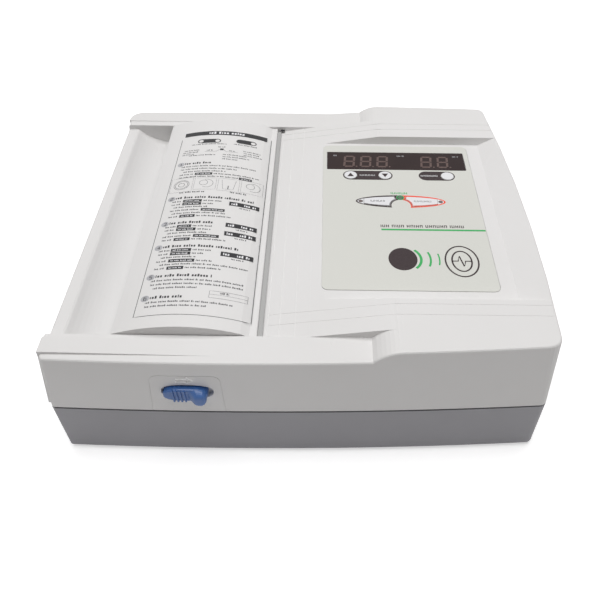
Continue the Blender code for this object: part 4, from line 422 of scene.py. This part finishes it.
def circle_about(name, gap, count=28):
    """Points round a round key or lamp, at a gap from its edge."""
    low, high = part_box(name)
    return circle(*middle_of(name), (high.x - low.x) / 2 + gap, count)


# Control panel print

on_panel = flat(overlay_high.z + film_lift)
on_window = flat(window_high.z + film_lift)


def panel(x, y):
    """Places on the panel, in millimetres from the overlay's left front corner."""
    return (overlay_low.x + x * mm, overlay_low.y + y * mm)


def key_print(name, part, look):
    """A print on top of a key, which moves with it."""
    return Print(name + part, look, name, flat(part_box(name)[1].z + film_lift))


key_gap, lamp_gap = 0.34 * mm, 0.3 * mm
dark = Print("panel_dark_print", ink_dark, "casing", on_panel)
up_low, up_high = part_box("key_volume_up")
down_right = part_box("key_volume_down")[1].x
ref_low, ref_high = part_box("key_reference")
key_y = (up_low.y + up_high.y) / 2
border = 1.05 * mm
capsule_radius = (up_high.y - up_low.y) / 2 + border
dark.area(capsule(up_low.x - border, down_right + border, key_y, capsule_radius),
          [circle_about("key_volume_up", key_gap), circle_about("key_volume_down", key_gap)])
dark.area(capsule(ref_low.x - 16.3 * mm, ref_high.x + border, key_y, capsule_radius),
          [circle_about("key_reference", key_gap)])

wing_x, wing_y = panel(54.2, 88.2)
wing_long, wing_short, wing_spread = 30.8 * mm, 6.5 * mm, 0.5 * mm
wing_line, wing_inner, wing_steps = 1.0 * mm, 0.7 * mm, 10
bite_drop, bite_radius = 4.9 * mm, 6.8 * mm
notch_rise, notch_radius = 4.4 * mm, 2.9 * mm


def wing_loop(side, inset, reach=None):
    """The outline of one wing, set in by a distance; an optional reach cuts its tip off."""
    a, b = wing_long - inset, wing_short - inset
    bite, notch = (radius + max(inset, 0.0) for radius in (bite_radius, notch_radius))
    reach = reach or a
    top_u = math.sqrt(notch ** 2 - (b - notch_rise) ** 2)
    meet_v = (bite ** 2 - notch ** 2 + notch_rise ** 2 - bite_drop ** 2) / (2 * (notch_rise + bite_drop))
    meet_u = math.sqrt(bite ** 2 - (meet_v + bite_drop) ** 2)
    low_u = math.sqrt(bite ** 2 - (bite_drop - b) ** 2)
    top_v = b * math.sqrt(1 - (top_u / a) ** 2)
    tip_angle, top_angle, low_angle = (math.acos(min(u / a, 1.0)) for u in (reach, top_u, low_u))

    def bearing(u, v):
        return math.degrees(math.atan2(v, u))

    points = []
    for i in range(wing_steps + 1):
        angle = tip_angle + (top_angle - tip_angle) * i / wing_steps
        points.append((a * math.cos(angle), b * math.sin(angle)))
    points += arc_points(0.0, notch_rise, notch, bearing(top_u, top_v - notch_rise),
                         bearing(meet_u, meet_v - notch_rise), 4)[1:]
    points += arc_points(0.0, -bite_drop, bite, bearing(meet_u, meet_v + bite_drop),
                         bearing(low_u, bite_drop - b), 6)[1:]
    for i in range(1, wing_steps + 1):
        angle = low_angle + (tip_angle - low_angle) * i / wing_steps
        points.append((a * math.cos(angle), -b * math.sin(angle)))
    if not tip_angle:
        points.pop()
    return [(wing_x + side * u, wing_y + v) for u, v in points]


red = Print("panel_red_print", ink_red, "casing", on_panel)
for sheet, side in ((dark, -1), (red, 1)):
    sheet.area(wing_loop(side, -wing_spread), [wing_loop(side, wing_inner)])

# White tips round the two wing lamps
tips = Print("panel_white_print", ink_white, "casing", on_panel)
tip_reach, tip_steps = 25.85 * mm, 12
tip_long, tip_short = wing_long - wing_inner, wing_short - wing_inner
tip_angle = math.acos(tip_reach / tip_long)
for side, lamp in ((-1, "lamp_alarm"), (1, "lamp_record")):
    tip = []
    for i in range(tip_steps + 1):
        angle = tip_angle - 2 * tip_angle * i / tip_steps
        tip.append((wing_x + side * tip_long * math.cos(angle), wing_y + tip_short * math.sin(angle)))
    tips.area(tip, [circle_about(lamp, lamp_gap, 16)])
tips.settle()

green = Print("panel_green_print", ink_green, "casing", on_panel)
green.area(circle_about("lamp_power", 0.85 * mm, 24), [circle_about("lamp_power", lamp_gap, 24)])
line_left, line_y = panel(39.1, 57.5)
green.bar(line_left, line_y - 0.8 * mm, overlay_high.x - 0.3 * mm, line_y + 0.8 * mm)

# Small print in place of words
dark.words(*panel(38.8, 59.9), 57.3 * mm, 2.6 * mm, 3, 0.22, 0.72)
green.words(*panel(47.8, 96.6), 13.4 * mm, 2.1 * mm, 2, 0.24, 0.95, run=7)

# Generic drawing: a dot that sends three bars of sound towards a ringed pulse
spot_x, spot_y = panel(51.3, 28.5)
dark.area(circle(spot_x, spot_y, 9.2 * mm, 40, 10.6 * mm))
for offset, tall, thick in ((11.6, 9.6, 1.7), (17.6, 6.9, 1.3), (23.2, 5.4, 0.9)):
    reach = math.degrees(tall / offset)
    green.band(arc_points(spot_x, spot_y, offset * mm, -reach, reach), thick * mm)
pulse_x, pulse_y = panel(88.5, 27.1)
for radius, radius_y in ((10.4, 14.2), (6.2, 9.4)):
    ring = circle(pulse_x, pulse_y, radius * mm, 44, radius_y * mm)
    dark.band(ring, 1.05 * mm, closed=True)
pulse = ((-6.2, 0.0), (-2.4, 0.0), (-1.2, 4.6), (0.9, -4.8), (2.2, 0.0), (6.2, 0.0))
dark.band([(pulse_x + x * mm, pulse_y + y * mm) for x, y in pulse], 0.95 * mm)
for sheet in (dark, red, green):
    sheet.settle()

# White marks inside the two capsules, triangles on the volume keys
caption = Print("panel_caption_print", ink_white, "casing", flat(overlay_high.z + 2 * film_lift))
caption.words(up_high.x + 2.2 * mm, key_y - 0.8 * mm, 11.6 * mm, 1.7 * mm, 5, 0.15, 0.85, run=8)
caption.words(ref_low.x - 14.8 * mm, key_y - 0.8 * mm, 13.6 * mm, 1.7 * mm, 6, 0.15, 0.6, run=14)
caption.settle()
for name, turn in (("key_volume_up", 1), ("key_volume_down", -1)):
    x, y = middle_of(name)
    mark = key_print(name, "_mark", ink_dark)
    base_y, peak_y = y - turn * 1.9 * mm, y + turn * 2.5 * mm
    mark.area([(x - 2.4 * mm, base_y), (x + 2.4 * mm, base_y), (x, peak_y)])
    mark.settle()
for name, side, start, run in (("key_alarm", -1, -21.0, 7), ("key_record", 1, 9.2, 8)):
    mark = key_print(name, "_mark", ink_text)
    mark.words(wing_x + start * mm, wing_y - 0.9 * mm, 12.6 * mm, 1.8 * mm, 4, 0.15, 0.9, run=run)
    mark.settle()
    rim = key_print(name, "_rim", ink_dark if side < 0 else ink_red)
    rim.area(wing_loop(side, wing_line + 0.05 * mm, 25.3 * mm),
             [wing_loop(side, wing_line + 0.4 * mm, 25.29 * mm)])
    rim.settle()

# Unlit seven-segment digits and small marks, laid on the window
segment = Print("window_segments", ink_segment, "casing", on_window)
digit_width, digit_height, digit_pitch, stroke, lean = 6.8 * mm, 12.9 * mm, 12.25 * mm, 1.6 * mm, 0.9 * mm
digit_base = window_high.y - 18.3 * mm


def digit(x, y):
    """One figure eight of seven bars, leaning right, with its decimal point."""
    half = digit_height / 2
    cut = 0.45 * mm

    def lean_x(height):
        return lean * height / digit_height

    for level in (0.0, half, digit_height):
        left, middle = x + lean_x(level), y + level
        segment.bar(left + cut, middle - stroke / 2, left + digit_width - cut, middle + stroke / 2)
    for side in (0.0, digit_width):
        for level in (0.0, half):
            low, high = level + cut, level + half - cut
            corners = ((-1, low), (1, low), (1, high), (-1, high))
            segment.area([(x + side + lean_x(h) + s * stroke / 2, y + h) for s, h in corners])
    segment.area(circle(x + digit_width + 2.3 * mm, y, 0.75 * mm, 10))


for start, count in ((12.6, 3), (69.8, 2)):
    for i in range(count):
        digit(window_low.x + start * mm + i * digit_pitch, digit_base)
segment.settle()
marks = Print("window_marks", ink_pale, "casing", on_window)
mark_y = window_high.y - 5.2 * mm
marks.words(window_low.x + 4.6 * mm, mark_y, 2.6 * mm, 1.5 * mm, 1)
marks.words(window_low.x + 52.4 * mm, mark_y, 6.4 * mm, 1.6 * mm, 2)
marks.words(window_low.x + 94.0 * mm, mark_y, 4.4 * mm, 1.5 * mm, 3)
marks.settle()


# Instruction label on the printer cover

cover_arch_right = cover_low.x + 79.2 * mm
cover_mid = (cover_low.x + cover_arch_right) / 2
cover_radius = 113.0 * mm
cover_centre = cover_high.z - cover_radius


def on_cover(x, y):
    return cover_centre + math.sqrt(cover_radius ** 2 - (x - cover_mid) ** 2) + film_lift


def over_print(x, y):
    """A second layer, on top of the print that lies on the cover."""
    return on_cover(x, y) + film_lift


def label(x, y):
    """Places on the label, in millimetres from the cover's left front corner."""
    return (cover_low.x + x * mm, cover_low.y + y * mm)


label_black = Print("label_black_print", ink_black_print_and_shade, "cover", on_cover, curved=True)
label_text = Print("label_text_print", ink_text, "cover", on_cover, curved=True)
label_pale = Print("label_pale_print", ink_pale, "cover", on_cover, curved=True)
label_white = Print("label_white_print", ink_white, "cover", over_print, curved=True)


def label_bar(sheet, x0, y0, x1, y1):
    sheet.bar(*label(x0, y0), *label(x1, y1))


def label_line(sheet, points, width):
    """A line on the label, split so that it follows the curve."""
    fine = []
    for a, b in zip(points, points[1:]):
        steps = max(1, math.ceil(abs(b[0] - a[0]) * mm / curve_step))
        fine += [(a[0] + (b[0] - a[0]) * i / steps, a[1] + (b[1] - a[1]) * i / steps) for i in range(steps)]
    fine.append(points[-1])
    sheet.band([label(*point) for point in fine], width * mm)


def label_words(sheet, x, y, length, size, seed):
    """A row of marks on the label; the large ones are bolder."""
    weight = 0.28 if size > 2 else 0.25
    sheet.words(*label(x, y), length * mm, size * mm, seed, weight, lower=0.74)


def label_ring(sheet, x, y, radius, width, count=22):
    sheet.band(circle(*label(x, y), radius * mm, count), width * mm, closed=True)


# Frame, title bar and two key sketches
label_line(label_text, [(11.7, 196), (11.7, 9.6), (79.6, 9.6), (79.6, 203)], 0.36)
label_bar(label_black, 13.3, 199.2, 76.4, 204.6)
label_words(label_white, 32.0, 200.6, 27.0, 3.0, 4)
for x0, x1, y, dots in ((24.5, 42.2, 190.9, (27.1, 39.6)), (53.6, 69.0, 192.0, (66.4,))):
    outline = capsule(label(x0, y)[0], label(x1, y)[0], label(x0, y)[1], 2.6 * mm, 6)
    label_black.area(outline, [circle(*label(dot, y), 1.8 * mm, 12) for dot in dots])
label_words(label_text, 20.7, 186.2, 26.2, 1.3, 1)
label_words(label_text, 52.3, 187.0, 17.8, 1.3, 2)

# Flow sketch
flow = [(31.5, 176.6), (40.0, 176.6), (42.4, 179.2), (45.4, 179.2), (47.4, 176.6), (56.6, 176.6)]
label_line(label_text, flow, 0.2)
label_bar(label_black, 42.8, 178.3, 45.4, 180.5)
for x, y, length in ((16.0, 178.6, 11.4), (15.4, 176.0, 11.4), (15.0, 173.4, 9.0), (60.0, 179.0, 13.4),
                     (60.6, 176.4, 12.0), (60.6, 173.8, 14.0), (20.4, 171.6, 19.6), (45.6, 172.2, 18.0),
                     (45.6, 169.4, 20.0), (45.6, 166.6, 12.0), (33.0, 177.6, 5.2), (49.6, 177.6, 5.2),
                     (41.0, 182.0, 6.0)):
    label_words(label_text, x, y, length, 1.25, int(x + y))

# Numbered sections: place and length of the title, then its rows as (left, length, bar start, bar length)
first_row_drop, row_pitch = 3.5, 3.3
sections = (
    (160.9, 20.2, (
        (17.0, 54.4, 0, 0), (17.0, 41.2, 0, 0), (19.3, 31.0, 0, 0), (17.0, 57.4, 28.2, 12.5),
        (17.0, 53.0, 60.0, 9.2))),
    (119.4, 55.6, (
        (17.0, 34.0, 24.5, 12.9), (17.0, 30.0, 24.5, 12.9), (19.0, 23.4, 0, 0),
        (17.0, 37.1, 38.1, 16.0), (18.6, 36.0, 0, 0), (17.0, 42.0, 24.5, 10.3))),
    (92.2, 29.0, (
        (16.8, 31.0, 24.6, 9.5), (17.0, 30.6, 24.6, 12.8), (19.1, 25.6, 0, 0),
        (16.7, 36.6, 36.7, 16.6), (16.9, 41.4, 24.6, 10.4))),
    (68.5, 50.3, (
        (16.8, 34.0, 24.6, 12.9), (17.0, 30.0, 24.6, 12.9), (19.3, 21.8, 0, 0),
        (16.9, 35.4, 24.6, 16.3), (19.4, 55.4, 0, 0), (16.9, 41.0, 24.6, 10.4))),
    (41.3, 35.2, ((16.9, 55.8, 0, 0), (17.0, 56.6, 0, 0), (19.3, 27.9, 0, 0))),
    (23.1, 20.2, ((16.8, 51.2, 0, 0), (17.0, 36.0, 0, 0))),
)
numeral_share = {
    1: ((0.5, 0), (0.5, 1)),
    2: ((0, 1), (1, 1), (1, 0.5), (0, 0.5), (0, 0), (1, 0)),
    3: ((0, 1), (1, 1), (1, 0.5), (0.3, 0.5), (1, 0.5), (1, 0), (0, 0)),
    4: ((0.8, 0), (0.8, 1), (0, 0.4), (1, 0.4)),
    5: ((1, 1), (0, 1), (0, 0.55), (1, 0.55), (1, 0), (0, 0)),
    6: ((1, 1), (0, 1), (0, 0), (1, 0), (1, 0.5), (0, 0.5)),
}
numeral_left, numeral_drop, numeral_wide, numeral_tall = 15.3, 0.5, 1.5, 2.7
title_size, row_size, bar_size = 2.3, 1.4, 1.1
numerals = Print("label_numerals", ink_black_print_and_shade, "cover", over_print, curved=True)
for number, (top, title, rows) in enumerate(sections, 1):
    label_pale.area(circle(*label(16.0, top + 0.8), 2.6 * mm, 18))
    numerals.band([label(numeral_left + numeral_wide * u, top - numeral_drop + numeral_tall * v)
                   for u, v in numeral_share[number]], 0.55 * mm)
    label_words(label_black, 19.0, top, title, title_size, number * 3)
    for row, (left, length, bar_start, bar_length) in enumerate(rows):
        y = top - first_row_drop - row_pitch * row
        if bar_length:
            bar_end = bar_start + bar_length
            rest = left + length - bar_end - 1.0
            label_words(label_text, left, y, bar_start - left - 0.8, row_size, number + row)
            label_bar(label_black, bar_start, y - 0.8, bar_end, y + 2.0)
            label_words(label_white, bar_start + 1.2, y, bar_length - 2.4, bar_size, number * 2 + row)
            label_words(label_text, bar_end + 1.0, y, rest, row_size, number + row + 2)
        else:
            label_words(label_text, left, y, length, row_size, number * 2 + row)

# Four boxed sketches: rings, a probe with its belt twice, and a cup
for x0, x1, y0, y1, kind in ((12.6, 28.2, 127.6, 144.0, "rings"), (29.4, 44.8, 129.4, 142.8, "probe"),
                             (46.2, 61.0, 128.6, 142.8, "cup"), (62.4, 77.6, 129.2, 143.6, "probe")):
    label_line(label_text, [(x0, y0), (x1, y0), (x1, y1), (x0, y1), (x0, y0)], 0.13)
    mid_x, mid_y = (x0 + x1) / 2, (y0 + y1) / 2
    if kind == "rings":
        for radius in (5.4, 4.4, 2.2):
            label_ring(label_text, mid_x, mid_y, radius, 0.28)
    elif kind == "probe":
        label_ring(label_text, mid_x - 1.2, mid_y + 1.2, 2.9, 0.24, 18)
        belt = arc_points(*label(mid_x + 1.0, mid_y + 0.4), 4.6 * mm, -120, 110, 14)
        label_text.band(belt, 0.24 * mm)
    else:
        low, high = y0 + 2.0, y1 - 1.6
        cup = [(mid_x - 5.0, high), (mid_x - 3.6, low), (mid_x + 3.6, low), (mid_x + 5.0, high)]
        label_line(label_text, cup, 0.18)
        label_line(label_text, [(mid_x, low), (mid_x, low + 4.0)], 0.6)
label_words(label_text, 20.3, 125.9, 18.0, 1.6, 3)
label_words(label_text, 55.5, 126.8, 12.2, 1.6, 5)

# Dark readouts at the right, each with pale marks and a small caption, and a boxed table below
readout_left, readout_wide, readout_tall = 56.3, 20.3, 4.2
for y in (112.9, 90.1, 81.4, 61.4):
    label_bar(label_black, readout_left, y, readout_left + readout_wide, y + readout_tall)
    label_words(label_white, readout_left + 1.6, y + 1.0, 6.4, 2.2, int(y))
    label_words(label_white, readout_left + 10.2, y + 1.0, 8.6, 2.2, int(y) + 1)
    label_words(label_text, readout_left + 7.0, y - 2.2, 7.6, 1.2, int(y))
label_line(label_text, [(53.7, 24.3), (76.3, 24.3), (76.3, 30.0), (53.7, 30.0), (53.7, 24.3)], 0.18)
label_line(label_text, [(53.7, 27.1), (76.3, 27.1)], 0.14)
label_words(label_text, 60.0, 28.0, 5.6, 1.5, 2)
for sheet in (label_black, label_text, label_pale, label_white, numerals):
    sheet.settle()


# Raised-outline arrow above the latch slot, on the plate's face; its bright ink is partly a painted
# highlight, and a lower outline is a painted shadow

graph = bpy.context.evaluated_depsgraph_get()
plate_tree = BVHTree.FromObject(nodes["latch_plate"], graph)
plate_low, plate_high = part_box("latch_plate")


def on_plate(x, z):
    """The plate's face leans and curves, so its depth is found by looking at it from the front."""
    place, *_ = plate_tree.ray_cast(Vector((x, plate_low.y - 10 * mm, z)), Vector((0.0, 1.0, 0.0)))
    return place.y - 0.06 * mm


def under_arrow(x, z):
    return on_plate(x, z) + 0.04 * mm


# The ledge's crest stands out and hangs a little, so that the ledge catches the light from above
ledge_crest = Vector((0.0, -0.55 * mm, -0.3 * mm))
# painted highlight: the arrow's ink is lighter than the plate's white, on top of the real light the ledge
# catches
arrow = Print("latch_arrow", arrow_highlight_ink, "casing", on_plate, forwards)
# painted shadow: a shade-ink outline set a little lower than the arrow, standing in for the shade under the
# raised ledge
arrow_painted_shadow = Print("latch_arrow_painted_shadow", ink_shade, "casing", under_arrow, forwards)
tip_x, tail_x, neck_x, arrow_z, shadow_drop = -61.2 * mm, -71.1 * mm, -65.0 * mm, 70.8 * mm, 0.2 * mm
stem_half, head_half = 1.15 * mm, 2.4 * mm
half_arrow = ((tail_x, stem_half), (neck_x, stem_half), (neck_x, head_half))
arrow_line = [*half_arrow, (tip_x, 0.0), *((x, -z) for x, z in reversed(half_arrow))]
arrow.band([(x, arrow_z + z) for x, z in arrow_line], 0.75 * mm, closed=True, crest=ledge_crest)
arrow_painted_shadow.band([(x, arrow_z + z - shadow_drop) for x, z in arrow_line], 1.0 * mm, closed=True)
arrow.settle()
arrow_painted_shadow.settle()

# Pale bed of the narrow gap round the latch plate
bed_depth, bed_width, bed_lift = 0.3 * mm, 1.2 * mm, 0.5 * mm
plate_half, plate_tall, plate_corner, plate_taper = 21.3 * mm, 31.4 * mm, 4.5 * mm, 1.4 * mm
plate_x, plate_bottom = plate_low.x + plate_half, plate_high.z - plate_tall
plate_z = plate_high.z - plate_tall / 2
edge_share = 0.93


def behind_plate(x, z):
    """The plate's own depth near its edge, carried a little outwards."""
    inner_x = plate_x + (x - plate_x) * edge_share
    inner_z = plate_z + (z - plate_z) * edge_share
    return on_plate(inner_x, inner_z) + bed_depth


bed = Print("latch_plate_bed", white, "casing", behind_plate, forwards)
corner_x, corner_z = plate_half - plate_taper - plate_corner, plate_high.z - plate_corner
bed.band([(plate_x - plate_half, plate_bottom + bed_lift),
          *arc_points(plate_x - corner_x, corner_z, plate_corner, 180, 90, 6),
          *arc_points(plate_x + corner_x, corner_z, plate_corner, 90, 0, 6),
          (plate_x + plate_half, plate_bottom + bed_lift)], bed_width)
bed.settle()


# Painted shade: a grey strip laid in the hinge groove beside the cover, its grey standing in for the shade
# in the groove

strip_left, strip_right = cover_high.x + 0.15 * mm, cover_high.x + 2.75 * mm
strip_front, strip_back = cover_low.y, cover_high.y - 4.0 * mm
strip_top, strip_thick = 82.8 * mm, 0.8 * mm
strip_size = Matrix.Diagonal((strip_right - strip_left, strip_back - strip_front, strip_thick, 1.0))
strip_middle = Matrix.Translation(((strip_left + strip_right) / 2, (strip_front + strip_back) / 2,
                                   strip_top - strip_thick / 2))
strip_form = bmesh.new()
bmesh.ops.create_cube(strip_form, size=1.0, matrix=strip_middle @ strip_size)
strip = put("groove_painted_shade", strip_form, groove_shade_look)
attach(strip, "casing")

# Painted shade: a black print in the short hinge hole behind the strip, standing in for the dark shade
# inside the hole
hole_shade = Print("hinge_hole_painted_shade", ink_black_print_and_shade, "casing", flat(strip_top - 0.2 * mm))
hole_shade.bar(strip_right - 0.6 * mm, strip_back + 1.2 * mm, strip_right + 2.6 * mm, strip_back + 3.9 * mm)
hole_shade.settle()


# Painted shade: a black band all round at the joint between the two halves of the case, standing in for the
# shade in the narrow gap

tray_tree = BVHTree.FromObject(nodes["base_tray"], graph)
seam_height, seam_count, seam_reach, seam_lift = 0.8 * mm, 720, 0.4, 0.08 * mm
seam_top = plate_bottom - 0.1 * mm
seam_form = bmesh.new()
bmesh.ops.create_circle(seam_form, segments=seam_count, radius=seam_reach)
for vert in seam_form.verts:
    outward = vert.co.normalized()
    start = vert.co + Vector((0.0, 0.0, seam_top - seam_height / 2))
    place, *_ = tray_tree.ray_cast(start, -outward)
    vert.co = place + outward * seam_lift - Vector((0.0, 0.0, seam_height / 2))
raised = bmesh.ops.extrude_edge_only(seam_form, edges=seam_form.edges[:])["geom"]
upper = [part for part in raised if isinstance(part, bmesh.types.BMVert)]
bmesh.ops.translate(seam_form, vec=(0.0, 0.0, seam_height), verts=upper)
bmesh.ops.recalc_face_normals(seam_form, faces=seam_form.faces)
seam = put("case_seam_painted_shade", seam_form, ink_black_print_and_shade)
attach(seam, "casing")


# Studio: plain pale floor, soft light from above

def background_rays(maker):
    """One for rays that should find the white background: from the camera, a reflection or glass."""
    path = maker.node("LightPath", {}, {})
    seen, glossy, through = (Value(maker, path.outputs["Is " + kind + " Ray"])
                             for kind in ("Camera", "Glossy", "Transmission"))
    return seen.larger(glossy).larger(through)


floor_reach = 6.0
floor_form = bmesh.new()
bmesh.ops.create_grid(floor_form, x_segments=1, y_segments=1, size=floor_reach)
floor_look = Look("studio_paper", (0.93, 0.93, 0.93), 0.9, specular=0.0)
floor_light = {"Emission Color": background_rays(floor_look), "Emission Strength": 0.54}
floor_look.fill(floor_look.shader, floor_light)
floor = put("studio_floor", floor_form, floor_look)

world = bpy.data.worlds.new("studio")
bpy.context.scene.world = world
world.use_nodes = True
sky = Maker(world.node_tree)
room = sky.tree.nodes["Background"]
sky.fill(room, {"Color": (1.0, 0.965, 0.955, 1.0), "Strength": 0.14})
backdrop = sky.node("Background", {}, {"Color": (1.0, 1.0, 1.0, 1.0), "Strength": 1.1})
pick = sky.node("MixShader", {}, {0: background_rays(sky), 1: room.outputs[0], 2: backdrop.outputs[0]})
sky.fill(sky.tree.nodes["World Output"], {"Surface": pick.outputs[0]})

lamp_place = Vector((0.0, 0.1, 1.6))
lamp_data = bpy.data.lights.new("overhead", "AREA")
lamp_data.shape = "DISK"
lamp_data.size = 1.5
lamp_data.energy = 22.0
lamp = bpy.data.objects.new("overhead", lamp_data)
lamp.location = lamp_place
lamp.rotation_mode = "QUATERNION"
lamp.rotation_quaternion = (-lamp_place).to_track_quat("-Z", "Y")
bpy.context.scene.collection.objects.link(lamp)

# Camera at the photograph's own angle
camera_data = bpy.data.cameras.new("camera")
camera_data.sensor_width = 36.0
camera_data.lens = 43.41
camera_data.shift_x = -0.03025
camera_data.shift_y = -0.0877
camera_data.clip_start = 0.01
camera_data.dof.use_dof = False
camera = bpy.data.objects.new("camera", camera_data)
bpy.context.scene.collection.objects.link(camera)
bpy.context.scene.camera = camera
camera_place = (0.01027, -0.38444, 0.39375)
pitch, yaw, roll = math.radians(41.22), math.radians(-0.44), math.radians(0.45)
level_right = Vector((math.cos(yaw), -math.sin(yaw), 0.0))
level_forward = Vector((math.sin(yaw), math.cos(yaw), 0.0))
forward = level_forward * math.cos(pitch) - Vector((0.0, 0.0, math.sin(pitch)))
level_up = level_right.cross(forward)
right = level_right * math.cos(roll) + level_up * math.sin(roll)
up = level_up * math.cos(roll) - level_right * math.sin(roll)
turn = Matrix((right, up, -forward)).transposed()
camera.matrix_world = Matrix.Translation(camera_place) @ turn.to_4x4()
bpy.context.scene.view_settings.view_transform = "Standard"
